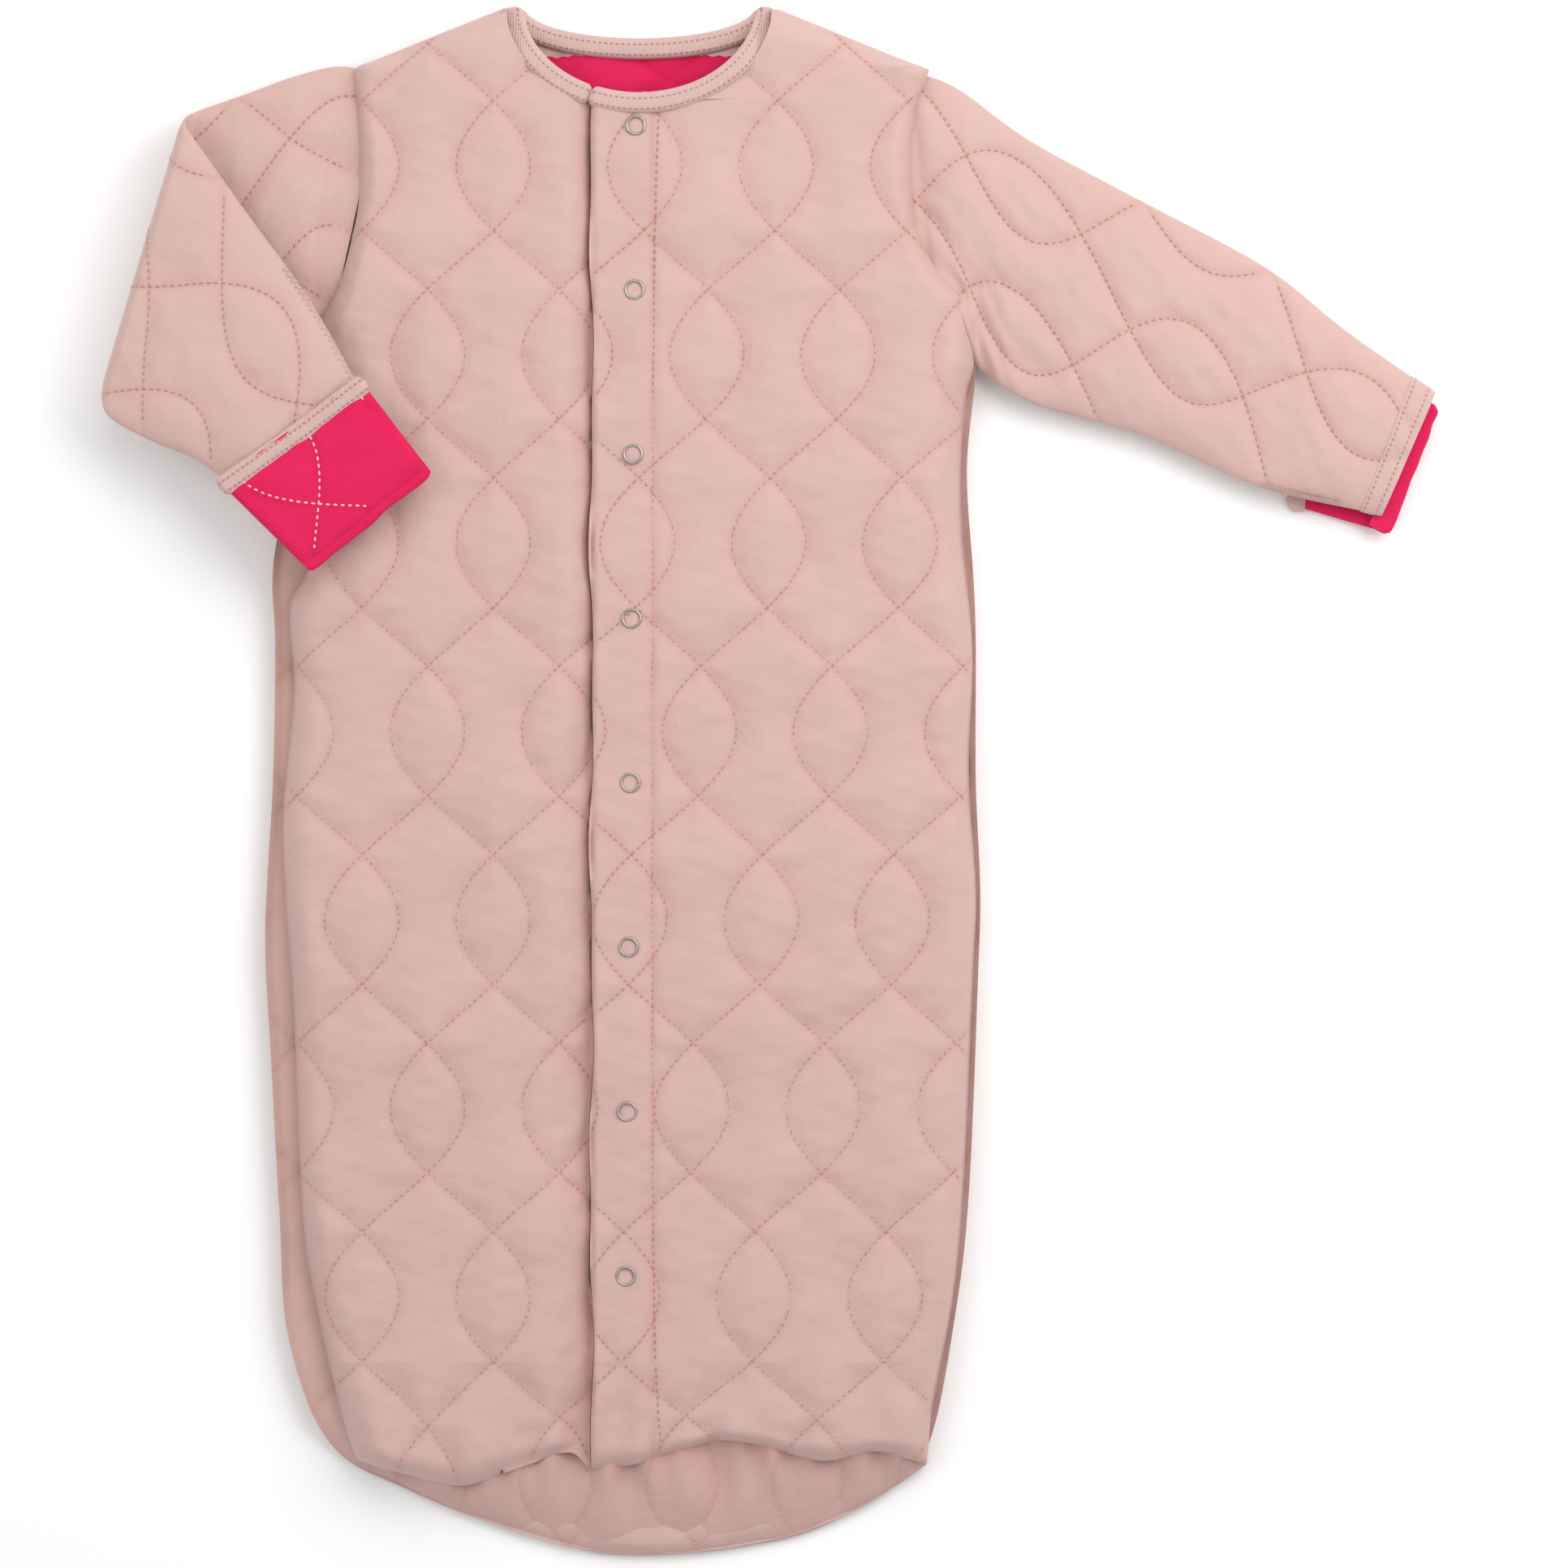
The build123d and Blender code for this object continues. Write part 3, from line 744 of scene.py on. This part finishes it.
def sleeve_surface(sleeve, half, squeeze=None):
    """Grid of positions round the flat sleeve, and its painted shade in the stitched valleys."""
    rows, columns = sleeve.rows, sleeve.columns
    along = np.repeat(sleeve.run[:, None], columns, axis=1)
    share = np.repeat(sleeve.share[None, :], rows, axis=0)
    height, gap = sleeve.thickness(share, along, half)
    if squeeze is not None:
        height = height * squeeze(along)
    upper = np.sin(sleeve.round) >= 0
    signed = np.where(upper[None, :], height, -height * 0.92)
    flat = sleeve.top_edge[:, None, :] * (1 - share[..., None]) + sleeve.low_edge[:, None, :] * share[..., None]
    z = SLEEVE_MIDDLE + signed
    # Painted shade in the stitched valleys.
    valley_shade = np.clip(np.exp(-gap / (0.9 * MM)) * 0.4, 0, 1)
    return np.dstack((flat, z)), valley_shade, along, share


def tube_faces(rows, columns, offset=0, flip=False):
    """Quads of a tube of rings."""
    r, c = np.meshgrid(np.arange(rows - 1), np.arange(columns), indexing="ij")
    a = (r * columns + c).ravel() + offset
    b = (r * columns + (c + 1) % columns).ravel() + offset
    quads = np.stack((a, a + columns, b + columns, b), axis=1)
    return quads[:, ::-1] if flip else quads


def sleeve_mesh(name, outer, valley_shade, lining_rows):
    """A sleeve with its red lining turned in at the cuff."""
    rows, columns = outer.shape[:2]
    inner = outer[-lining_rows:].copy()
    middle = inner.mean(axis=1, keepdims=True)
    inner = middle + (inner - middle) * np.array((0.95, 0.95, 0.5))
    vertices = np.concatenate((outer.reshape(-1, 3), inner.reshape(-1, 3)))
    outside = tube_faces(rows, columns)
    inside = tube_faces(lining_rows, columns, rows * columns, flip=True)
    c = np.arange(columns)
    last, inner_last = (rows - 1) * columns, rows * columns + (lining_rows - 1) * columns
    rim = np.stack((last + c, inner_last + c, inner_last + (c + 1) % columns, last + (c + 1) % columns), axis=1)
    faces = np.concatenate((outside, inside, rim))
    indices = np.concatenate((np.zeros(len(outside)), np.ones(len(inside) + len(rim))))
    valley_shades = np.concatenate((valley_shade.ravel(), valley_shade[-lining_rows:].ravel()))
    return make_mesh(name, vertices, faces, (JERSEY, LINING), indices, valley_shades, sharp=75)


def sleeve_stitches(sleeve, surface, share_limit=0.03):
    """Quilting paths on both faces of a sleeve."""
    width = np.linalg.norm(sleeve.top_edge - sleeve.low_edge, axis=1)
    half_columns = sleeve.columns // 2
    paths = []
    for k in range(-3, 9):
        along = np.arange(sleeve.run[0] + 9 * MM, sleeve.run[-1] - 9 * MM, 0.8 * MM)
        across = quilt_line({"x": 14 * MM, "lean": 0.0}, k, along + sleeve.seed * 20 * MM)
        share = across / np.interp(along, sleeve.run, width)
        inside = (share > share_limit) & (share < 1 - share_limit)
        angle = np.arccos(np.clip(1 - 2 * share, -1, 1))
        row = np.interp(along, sleeve.run, np.arange(sleeve.rows))
        for turn in (angle, 2 * math.pi - angle):
            column = turn / (2 * math.pi) * sleeve.columns
            paths += split_runs(grid_points(surface, row, column), inside)
    return paths


def grid_points(surface, row, column):
    """Positions between the vertices of a ring grid."""
    rows, columns = surface.shape[:2]
    r0 = np.clip(np.floor(row).astype(int), 0, rows - 2)
    c0 = np.floor(column).astype(int)
    fr, fc = (row - r0)[:, None], (column - c0)[:, None]
    c0, c1 = c0 % columns, (c0 + 1) % columns
    near = surface[r0, c0] * (1 - fc) + surface[r0, c1] * fc
    far = surface[r0 + 1, c0] * (1 - fc) + surface[r0 + 1, c1] * fc
    return near * (1 - fr) + far * fr


def joint(name):
    """One joint of the frame."""
    return next(j for j in frame["record"]["behaviour"]["joints"] if j["name"] == name)


def cuff_band(name, surface, body, node_name, rows=8, grow=0.7 * MM):
    """Rib binding round the cuff with its two rows of stitches."""
    band = surface[-rows:].copy()
    middle = band.mean(axis=1, keepdims=True)
    direction = (band - middle) / np.maximum(np.linalg.norm(band - middle, axis=2, keepdims=True), 1e-9)
    swell = np.sin(np.linspace(0.12, math.pi - 0.12, rows)) ** 0.4
    outer = band + direction * (grow * swell)[:, None, None]
    outer[..., 2] += np.sign(direction[..., 2]) * 0.5 * MM * swell[:, None]
    columns = band.shape[1]
    inner = middle + (band - middle) * np.array((0.97, 0.97, 0.6))
    vertices = np.concatenate((outer.reshape(-1, 3), inner.reshape(-1, 3)))
    count = rows * columns
    c = np.arange(columns)
    nxt = (c + 1) % columns
    end = (rows - 1) * columns
    faces = np.concatenate((
        tube_faces(rows, columns), tube_faces(rows, columns, count, flip=True),
        np.stack((end + c, count + end + c, count + end + nxt, end + nxt), axis=1),
        np.stack((c, nxt, count + nxt, count + c), axis=1),
    ))
    made = make_mesh(name, vertices, faces, (RIB,), valley_shade=np.zeros(len(vertices)))
    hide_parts(node_name)
    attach(slots(made), body)
    paths = [np.vstack((outer[row], outer[row, :1])) for row in (1, rows - 3)]
    seams = make_mesh(name + "_stitches", *dashes(paths, pitch=2.6 * MM, length=2.0 * MM), (THREAD,))
    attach(slots(seams), body)


def right_sleeve():
    """The sleeve that lies flat."""
    sleeve = Sleeve(RIGHT_SLEEVE_TOP, RIGHT_SLEEVE_LOW, 165, 150, seed=2)
    length = sleeve.run[-1]

    def squeeze(along):
        start = 0.62 + 0.38 * roll(along - 15 * MM, 14 * MM)
        end = 0.72 + 0.28 * np.clip((length - along) / (30 * MM), 0, 1)
        return start * end

    surface, valley_shade, along, share = sleeve_surface(sleeve, SLEEVE_HALF, squeeze)
    crumple = np.exp(-((along - 25 * MM) / (38 * MM)) ** 2) * np.clip((share - 0.55) / 0.45, 0, 1)
    ripples = np.sin(along / (5.5 * MM) + 3 * share) * 3.0 * MM + waves(along, share * 0.1, 14 * MM, 77) * 2.2 * MM
    surface[..., 2] += crumple * ripples
    made = sleeve_mesh("sleeve_right", surface, valley_shade, 22)
    crease = joint("right_sleeve_fold")
    middle = np.array(((0.201 + 0.2384) / 2, (0.2785 + 0.157) / 2, FOLD_HEIGHT))
    axis = np.array(crease["axis"])
    out = np.cross(axis, (0, 0, 1.0)) * -1
    start, end = middle - out * 13 * MM, middle + out * 13 * MM
    if end[0] < start[0]:
        start, end = end, start
    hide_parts(*[f"sleeve_right_{part}_{layer}" for part in ("upper", "forearm")
                        for layer in ("jersey", "wadding", "lining")])
    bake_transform(made)
    slots(made)
    seams = make_mesh("quilting_sleeve_right", *dashes(sleeve_stitches(sleeve, surface)), (THREAD,))
    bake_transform(slots(seams))
    cuff_band("cuff_band_right", surface, "right_forearm", "cuff_binding_right")
    overlock("overlock_right", surface[-40:-14, surface.shape[1] // 2], "right_forearm")


def overlock(name, seam, body):
    """Zigzag stitches over a seam that runs along a sleeve's edge."""
    count = 60
    share = np.linspace(0, len(seam) - 1, count)
    path = np.stack([np.interp(share, np.arange(len(seam)), seam[:, i]) for i in range(3)], axis=1)
    along = np.gradient(path[:, :2], axis=0)
    across = np.column_stack((along[:, 1], -along[:, 0])) / np.linalg.norm(along, axis=1)[:, None]
    swing = np.where(np.arange(count) % 2, 2.4 * MM, -0.4 * MM)[:, None]
    inward = across * (1 if name.endswith("left") else -1)
    path[:, :2] += inward * swing
    path[:, 2] += np.where(np.arange(count) % 2, 4.2 * MM, 0.6 * MM)
    paths = [path[i:i + 2] for i in range(count - 1)]
    size = float(np.linalg.norm(path[1] - path[0]))
    made = make_mesh(name, *dashes(paths, pitch=size, length=size * 0.65, width=0.5 * MM), (RIB,))
    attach(slots(made), body)


def mirrored(points, corner, out):
    """Points of the folded forearm turned back to where they lie unfolded."""
    return points - 2 * ((points - corner) @ out)[:, None] * out


def left_sleeve():
    """The folded sleeve: flat to the crease, round it, and back over the front."""
    crease = joint("left_sleeve_unfold")
    corner = np.array(crease["pos_m"][:2])
    axis = np.array(crease["axis"][:2])
    out = np.array((axis[1], -axis[0]))
    if out[0] > 0:
        out = -out
    top = np.array(((-100, 314), (-120, 319), (-140, 315), (-165, 306), (-193.5, 296))) * MM
    low = np.array(((-124, 206), (-146, 192), (-170, 184), (-200, 177), (-230.7, 172))) * MM
    top = np.vstack((top, mirrored(np.array(((-164, 255), (-133, 212), (-109.5, 171), (-88.5, 138))) * MM, corner, out)))
    low = np.vstack((low, mirrored(np.array(((-222, 159), (-203, 148.5), (-177, 136), (-138, 99.5))) * MM, corner, out)))
    sleeve = Sleeve(top, low, 190, 150, seed=5)
    length = sleeve.run[-1]

    def squeeze(along):
        start = 0.62 + 0.38 * roll(along - 15 * MM, 14 * MM)
        end = 0.72 + 0.28 * np.clip((length - along) / (30 * MM), 0, 1)
        return start * end

    surface, valley_shade, along, _ = sleeve_surface(sleeve, SLEEVE_HALF * 0.97, squeeze)
    beyond = (surface[..., :2] - corner) @ out
    height = np.clip(surface[..., 2] - SLEEVE_MIDDLE, -8.4 * MM, 8.4 * MM)
    lever = FOLD_HEIGHT - SLEEVE_MIDDLE
    bulge = 4.0 * MM
    arc = 16 * MM
    turn = np.clip((beyond + arc / 2) / arc, 0, 1) * math.pi
    radius = lever - height
    sideways = np.where(turn <= 0, beyond + arc / 2, 0) + np.where(turn >= math.pi, -(beyond - arc / 2), 0)
    round_out = np.sin(turn) * bulge * np.clip(radius / lever, 0.2, 1.3)
    flat = surface[..., :2] - out * beyond[..., None]
    sideways = sideways - arc / 2 * (1 - np.sin(turn)) * 0 + round_out
    plan = flat + out * sideways[..., None]
    z = FOLD_HEIGHT - np.cos(turn) * radius
    folded = np.dstack((plan, z))
    made = sleeve_mesh("sleeve_left", folded, valley_shade, 22)
    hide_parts(*[f"sleeve_left_{part}_{layer}" for part in ("upper", "forearm")
                        for layer in ("jersey", "wadding", "lining")])
    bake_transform(made)
    slots(made)
    seams = make_mesh("quilting_sleeve_left", *dashes(sleeve_stitches(sleeve, folded)), (THREAD,))
    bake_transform(slots(seams))
    cuff_band("cuff_band_left", folded, "left_forearm", "cuff_binding_left")
    overlock("overlock_left", folded[-70:-8, 1], "left_forearm")


# ---------------------------------------------------------------- mitt flaps
def mitt(side, corners, height, facing):
    """A flap with its lining outwards and a bound edge. Corners: two at the cuff, two at the bound edge."""
    rows, columns = 34, 44
    s = np.linspace(0, 1, rows)[:, None]
    t = np.linspace(0, 1, columns)[None, :]
    cuff_a, cuff_b, end_a, end_b = (np.array(corner) * MM for corner in corners)
    a = cuff_a + (end_a - cuff_a) * s[..., None] * 0.96
    b = cuff_b + (end_b - cuff_b) * s[..., None] * 0.96
    flat = a + (b - a) * t[..., None]
    x, y = flat[..., 0], flat[..., 1]
    width = np.linalg.norm(cuff_a - cuff_b)
    depth = np.linalg.norm(cuff_a - end_a)
    gap_side = np.minimum(t, 1 - t) * width + 0 * s
    gap_end = s * depth + 0 * t
    round_off = roll(gap_side, 5 * MM) * roll(gap_end + 0.2 * MM, 5 * MM)
    across = t * width + 0 * s
    gap = quilt_distance({"x": 32 * MM, "lean": 0.0}, across, s * depth + 60 * MM + 0 * t)
    thick = 2.1 * MM * round_off + 0.9 * MM * (puff(gap) - 0.5) * round_off + 0.25 * MM * waves(x, y, 12 * MM, 55)
    height = height - facing * 3.4 * MM * (1 - s) ** 5
    outer_z = height + facing * np.maximum(thick, 0.2 * MM)
    inner_z = height - facing * (1.5 * MM * round_off + 0.1 * MM)
    top, low = (outer_z, inner_z) if facing > 0 else (inner_z, outer_z)
    # Painted shade in the stitched valleys.
    valley_shade = np.clip(np.exp(-gap / (0.9 * MM)) * 0.4, 0, 1)
    vertices, faces, indices, valley_shades = shell(np.dstack((flat, top)), np.dstack((flat, low)), valley_shade)
    if np.cross(np.append(b[0, 0] - a[0, 0], 0), np.append(a[-1, 0] - a[0, 0], 0))[2] < 0:
        faces = faces[:, ::-1]
    if facing < 0:
        rolled = ((gap_side < 7 * MM) | (gap_end < 7 * MM))[:-1, :-1].ravel()
        indices[:len(rolled)][rolled] = 1
    materials = (LINING, JERSEY) if facing > 0 else (JERSEY, LINING)
    body = f"{side}_mitt"
    made = make_mesh(f"mitt_flap_{side}", vertices, faces, materials, indices, valley_shades)
    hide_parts(f"mitt_{side}_lining", f"mitt_{side}_jersey")
    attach(slots(made), body)

    cuff_height = float(height[0, 0])
    mitt_turn(side, cuff_a, cuff_b, (cuff_a - end_a) / depth, cuff_height - facing * 5 * MM,
              cuff_height + facing * 1.6 * MM)

    paths = []
    for k in range(-2, 4):
        along = np.arange(3 * MM, depth - 2 * MM, 0.7 * MM)
        place = quilt_line({"x": 32 * MM, "lean": 0.0}, k, along + 60 * MM) / width
        inside = (place > 0.05) & (place < 0.95)
        row = np.clip(np.round(along / depth * (rows - 1)), 0, rows - 1).astype(int)
        column = np.clip(np.round(place * (columns - 1)), 0, columns - 1).astype(int)
        left = cuff_a + (end_a - cuff_a) * (along / depth)[:, None]
        right = cuff_b + (end_b - cuff_b) * (along / depth)[:, None]
        plan = left + (right - left) * place[:, None]
        paths += split_runs(np.column_stack((plan, outer_z[row, column])), inside)
    seams = make_mesh(f"quilting_mitt_{side}", *dashes(paths, lift=0.2 * MM * facing), (PALE_THREAD,))
    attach(slots(seams), body)

    band_width = 9.5 * MM
    inward = (cuff_a - end_a) / depth
    path = smooth_curve(np.array((end_a - (end_b - end_a) * 0.02, (end_a + end_b) / 2 + inward * 0.6 * MM,
                                  end_b + (end_b - end_a) * 0.02)), 60)
    height = float(height[-1, 0])
    bound = flat_band(path, inward, band_width, height + facing * 0.4 * MM, 2.3 * MM)
    edge = make_mesh(f"mitt_binding_{side}", *bound[:2], (RIB,), valley_shade=np.zeros(len(bound[0])))
    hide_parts(f"mitt_{side}_binding")
    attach(slots(edge), body)
    rows_of_thread = []
    for share in (0.3, 0.8):
        plan = path + inward * band_width * share
        rows_of_thread.append(np.column_stack((plan, np.full(len(plan), height + facing * 2.75 * MM))))
    made = make_mesh(f"mitt_binding_stitches_{side}", *dashes(rows_of_thread, pitch=2.6 * MM, length=2 * MM), (THREAD,))
    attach(slots(made), body)


def mitt_turn(side, cuff_a, cuff_b, outward, inside_z, flap_z):
    """The soft roll of lining where the sleeve turns over into its mitt flap."""
    rows, columns = 40, 22
    t = np.linspace(0, 1, rows)[:, None]
    angle = np.linspace(0, math.pi, columns)[None, :]
    line = cuff_a + (cuff_b - cuff_a) * t
    ends = roll(np.minimum(t, 1 - t) * np.linalg.norm(cuff_b - cuff_a), 5 * MM)
    swell = 3.2 * MM if side == "left" else 7.5 * MM
    reach = (swell + 0.5 * MM * waves(line[:, :1], line[:, 1:], 18 * MM, 61)) * (0.6 + 0.4 * ends)
    middle, half = (inside_z + flap_z) / 2, (flap_z - inside_z) / 2
    faces_of = []
    for inset in (0.0, 1.0 * MM):
        bulge = (reach - inset) * np.sin(angle) - 3.5 * MM * np.abs(np.cos(angle)) ** 4
        rise = middle - np.cos(angle) * (half - math.copysign(inset, half))
        faces_of.append(np.dstack((line[:, None, :] + outward * bulge[..., None], rise + 0 * t)))
    outer, inner = faces_of
    vertices, faces, indices, valley_shade = shell(outer, inner, np.zeros(outer.shape[:2]))
    made = make_mesh(f"mitt_turn_{side}", vertices, faces, (LINING, LINING), indices, valley_shade)
    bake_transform(slots(made))


def flat_band(path, inward, width, height, half):
    """A soft flat band along a path: an oval section swept along it."""
    around = np.linspace(0, 2 * math.pi, 24, endpoint=False)
    offset = width / 2 - np.sign(np.cos(around)) * np.abs(np.cos(around)) ** 0.55 * width / 2
    lift = np.sign(np.sin(around)) * np.abs(np.sin(around)) ** 0.75 * half
    inward = np.broadcast_to(inward, path.shape)
    steps = np.linalg.norm(np.diff(path, axis=0), axis=1)
    run = np.concatenate(((0,), np.cumsum(steps)))
    ends = np.maximum(roll(np.minimum(run, run[-1] - run), 3 * MM), 0.05)[:, None]
    across = width / 2 + (offset[None, :] - width / 2) * ends
    rings = np.empty((len(path), len(around), 3))
    rings[..., :2] = path[:, None, :] + inward[:, None, :] * across[..., None]
    rings[..., 2] = np.broadcast_to(height, (len(path),))[:, None] + lift[None, :] * ends
    rows, columns = rings.shape[:2]
    caps = [list(range(columns)), [(rows - 1) * columns + c for c in reversed(range(columns))]]
    faces = tube_faces(rows, columns).tolist() + caps
    return rings.reshape(-1, 3), faces, rings


# ---------------------------------------------------------------- neck binding and snaps
def neck_band(name, depth, low_x, high_x, height, half, node_name, place):
    """Rib binding along a stretch of the neck's half ellipse."""
    x = np.linspace(low_x, high_x, 240)
    inner = np.array((NECK_HALF_WIDTH, depth))
    angle = np.arccos(np.clip((x - NECK[0]) / (NECK_HALF_WIDTH + BINDING / 2), -1, 1))
    angle = np.linspace(angle[0], angle[-1], 240)
    path = NECK + np.column_stack((np.cos(angle) * inner[0], -np.sin(angle) * inner[1]))
    outward = np.column_stack((np.cos(angle) / inner[0], -np.sin(angle) / inner[1]))
    outward /= np.linalg.norm(outward, axis=1)[:, None]
    near_tip = np.abs(np.cos(angle)) ** 16
    height = height * (1 - near_tip) + 11 * MM * near_tip
    vertices, faces, rings = flat_band(path, outward, BINDING + 1.5 * MM, height, half)
    made = make_mesh(name, vertices, faces, (RIB,), valley_shade=np.zeros(len(vertices)))
    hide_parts(node_name)
    place(slots(made))
    rows_of_thread = []
    top = height + half
    for share in (0.32, 0.82):
        plan = path + outward * (BINDING + 1.5 * MM) * share
        rows_of_thread.append(np.column_stack((plan, top - 0.15 * MM)))
    seams = make_mesh(name + "_stitches", *dashes(rows_of_thread, pitch=2.6 * MM, length=2 * MM), (THREAD,))
    place(slots(seams))


def neck_bindings():
    """Bindings of the back, of the overlap and of the underlap."""
    tip = NECK_HALF_WIDTH + BINDING / 2
    bag = lambda piece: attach(piece, "bag")
    overlap = lambda piece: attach(piece, "overlap")
    underlap = lambda piece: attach(piece, "underlap")
    neck_band("neck_band_back", BACK_NECK_DEPTH, NECK[0] - tip, NECK[0] + tip, 8 * MM, 3.4 * MM,
              "neck_binding_back", bag)
    neck_band("neck_band_overlap", FRONT_NECK_DEPTH, FREE_EDGE_X - 1 * MM, NECK[0] + tip, 24.4 * MM, 3.2 * MM,
              "neck_binding_overlap", overlap)
    neck_band("neck_band_underlap", FRONT_NECK_DEPTH, NECK[0] - tip, FREE_EDGE_X - 0.2 * MM, 22.6 * MM, 3.0 * MM,
              "neck_binding_underlap", underlap)


def snap_places():
    """Centre of each snap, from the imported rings' box."""
    low, high = (np.array(corner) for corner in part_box("snap_rings"))
    radius = 4.75 * MM
    top = np.array((high[0] - radius, high[1] - radius))
    bottom = np.array((low[0] + radius, low[1] + radius))
    return [top + (bottom - top) * i / 7 for i in range(8)]


def revolved(profile, centres, sides=40):
    """A profile of (radius, height) points turned round each centre."""
    vertices, faces = [], []
    around = np.linspace(0, 2 * math.pi, sides, endpoint=False)
    count = len(profile)
    for centre in centres:
        first = len(vertices)
        for angle in around:
            for radius, height in profile:
                vertices.append((centre[0] + radius * math.cos(angle), centre[1] + radius * math.sin(angle),
                                 centre[2] + height))
        for i in range(sides):
            j = (i + 1) % sides
            for k in range(count):
                n = (k + 1) % count
                faces.append((first + i * count + k, first + j * count + k, first + j * count + n, first + i * count + n))
    return vertices, faces


def round_section(inner, outer, half, points=12):
    """A rounded ring section."""
    middle, reach = (inner + outer) / 2, (outer - inner) / 2
    angles = np.linspace(0, 2 * math.pi, points, endpoint=False)
    return [(middle + reach * math.cos(a), half * math.sin(a)) for a in angles]


def snaps():
    """Rings and sockets on the overlap, studs and rings on the underlap."""
    places = snap_places()
    tops = [(x, y, float(front_heights(np.array(x), np.array(y), "right")[0])) for x, y in places]
    rings = make_mesh("snap_open_rings", *revolved(round_section(3.35 * MM, 4.65 * MM, 0.75 * MM),
                      [(x, y, z + 0.25 * MM) for x, y, z in tops]), (METAL,))
    sockets = make_mesh("snap_socket_discs", *revolved(round_section(1.9 * MM, 4.6 * MM, 0.8 * MM),
                        [(x, y, FRONT_UNDER - 0.7 * MM) for x, y in places]), (METAL,))
    for made, nodes in ((rings, "snap_rings"), (sockets, "snap_sockets")):
        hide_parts(nodes)
        on_lapel(slots(made), "right")
    strip_top = 17.0 * MM
    stud = [(0.01 * MM, 2.0 * MM), (1.2 * MM, 1.9 * MM), (1.5 * MM, 1.2 * MM), (1.3 * MM, 0.5 * MM),
            (4.2 * MM, 0.35 * MM), (4.4 * MM, 0.0), (0.01 * MM, -0.3 * MM)]
    studs = make_mesh("snap_stud_posts", *revolved(stud, [(x, y, strip_top) for x, y in places]), (METAL,))
    backs = make_mesh("snap_back_open_rings", *revolved(round_section(3.35 * MM, 4.65 * MM, 0.7 * MM),
                      [(x, y, strip_top - 3.2 * MM) for x, y in places]), (METAL,))
    for made, nodes in ((studs, "snap_studs"), (backs, "snap_back_rings")):
        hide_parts(nodes)
        on_lapel(slots(made), "left")


def placket_strip():
    """The underlap's placket extension, under the overlap."""
    rows, columns = 330, 26
    y = np.linspace(PLACKET_LOW_Y, 304 * MM, rows)[:, None]
    t = np.linspace(0, 1, columns)[None, :]
    left = FREE_EDGE_X - 12 * MM
    right = PLACKET_SEAM_X
    x = left + (right - left) * t + 0 * y
    y = y + 0 * t
    rounded = roll(np.minimum(x - left, right - x), 2.5 * MM)
    ground = 0.3 * MM * waves(x, y, 25 * MM, 91)
    top = 15.6 * MM + 1.2 * MM * rounded + ground
    low = 15.2 * MM - 1.0 * MM * rounded + ground
    vertices, faces, indices, valley_shade = shell(np.dstack((x, y, top)), np.dstack((x, y, low)), np.zeros(x.shape))
    strip = make_mesh("underlap_strip", vertices, faces, (JERSEY, JERSEY), indices, valley_shade)
    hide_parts("underlap_placket")
    on_lapel(slots(strip), "left")


# ---------------------------------------------------------------- floor, light and camera
def surroundings():
    """A pale floor, soft light from above and the camera looking straight down."""
    floor_material = bpy.data.materials.new("floor")
    floor_material.use_nodes = True
    shader = floor_material.node_tree.nodes["Principled BSDF"]
    shader.inputs["Base Color"].default_value = (0.93, 0.93, 0.93, 1)
    shader.inputs["Roughness"].default_value = 0.9
    size = 6.0
    mesh = bpy.data.meshes.new("floor")
    mesh.from_pydata([(-size, -size, -0.0005), (size, -size, -0.0005), (size, size, -0.0005), (-size, size, -0.0005)],
                     [], [(0, 1, 2, 3)])
    mesh.materials.append(floor_material)
    floor = bpy.data.objects.new("floor", mesh)
    bpy.context.scene.collection.objects.link(floor)

    world = bpy.data.worlds.new("studio")
    world.use_nodes = True
    world.node_tree.nodes["Background"].inputs["Color"].default_value = (1, 1, 1, 1)
    world.node_tree.nodes["Background"].inputs["Strength"].default_value = 0.66
    bpy.context.scene.world = world
    lights = (("key", (0.85, 0.55, 1.1), 1.1, 12.0), ("fill", (-1.2, 0.4, 1.4), 1.2, 7.0),
              ("top", (0.1, 1.3, 1.2), 1.0, 5.0))
    for name, place, side, power in lights:
        light = bpy.data.lights.new(name, "AREA")
        light.size = side
        light.energy = power
        lamp = bpy.data.objects.new(name, light)
        lamp.location = place
        aim = np.array((0.05, 0.0, 0.0)) - np.array(place)
        yaw = math.atan2(aim[1], aim[0]) - math.pi / 2
        pitch = math.atan2(math.hypot(aim[0], aim[1]), -aim[2])
        lamp.rotation_euler = (pitch, 0, yaw)
        bpy.context.scene.collection.objects.link(lamp)

    camera = bpy.data.cameras.new("camera")
    view_width, distance = 0.7052, 3.0
    camera.sensor_width = 36
    camera.lens = camera.sensor_width * (distance - 0.02) / view_width
    holder = bpy.data.objects.new("camera", camera)
    holder.location = (0.0715, -0.0022, distance)
    bpy.context.scene.collection.objects.link(holder)
    bpy.context.scene.camera = holder
    bpy.context.scene.view_settings.view_transform = "Standard"


surroundings()
back_panel()
foot_panel()
for half in ("right", "left"):
    front_half(half)
    front_stitches(half)
placket_strip()
neck_bindings()
snaps()
right_sleeve()
left_sleeve()
mitt("left", ((-87.5, 139), (-142, 94.5), (-119, 180), (-182, 134)), 44.2 * MM, 1)
mitt("right", ((361.5, 171), (338.5, 113), (322, 193), (298, 125)), 2.6 * MM, -1)
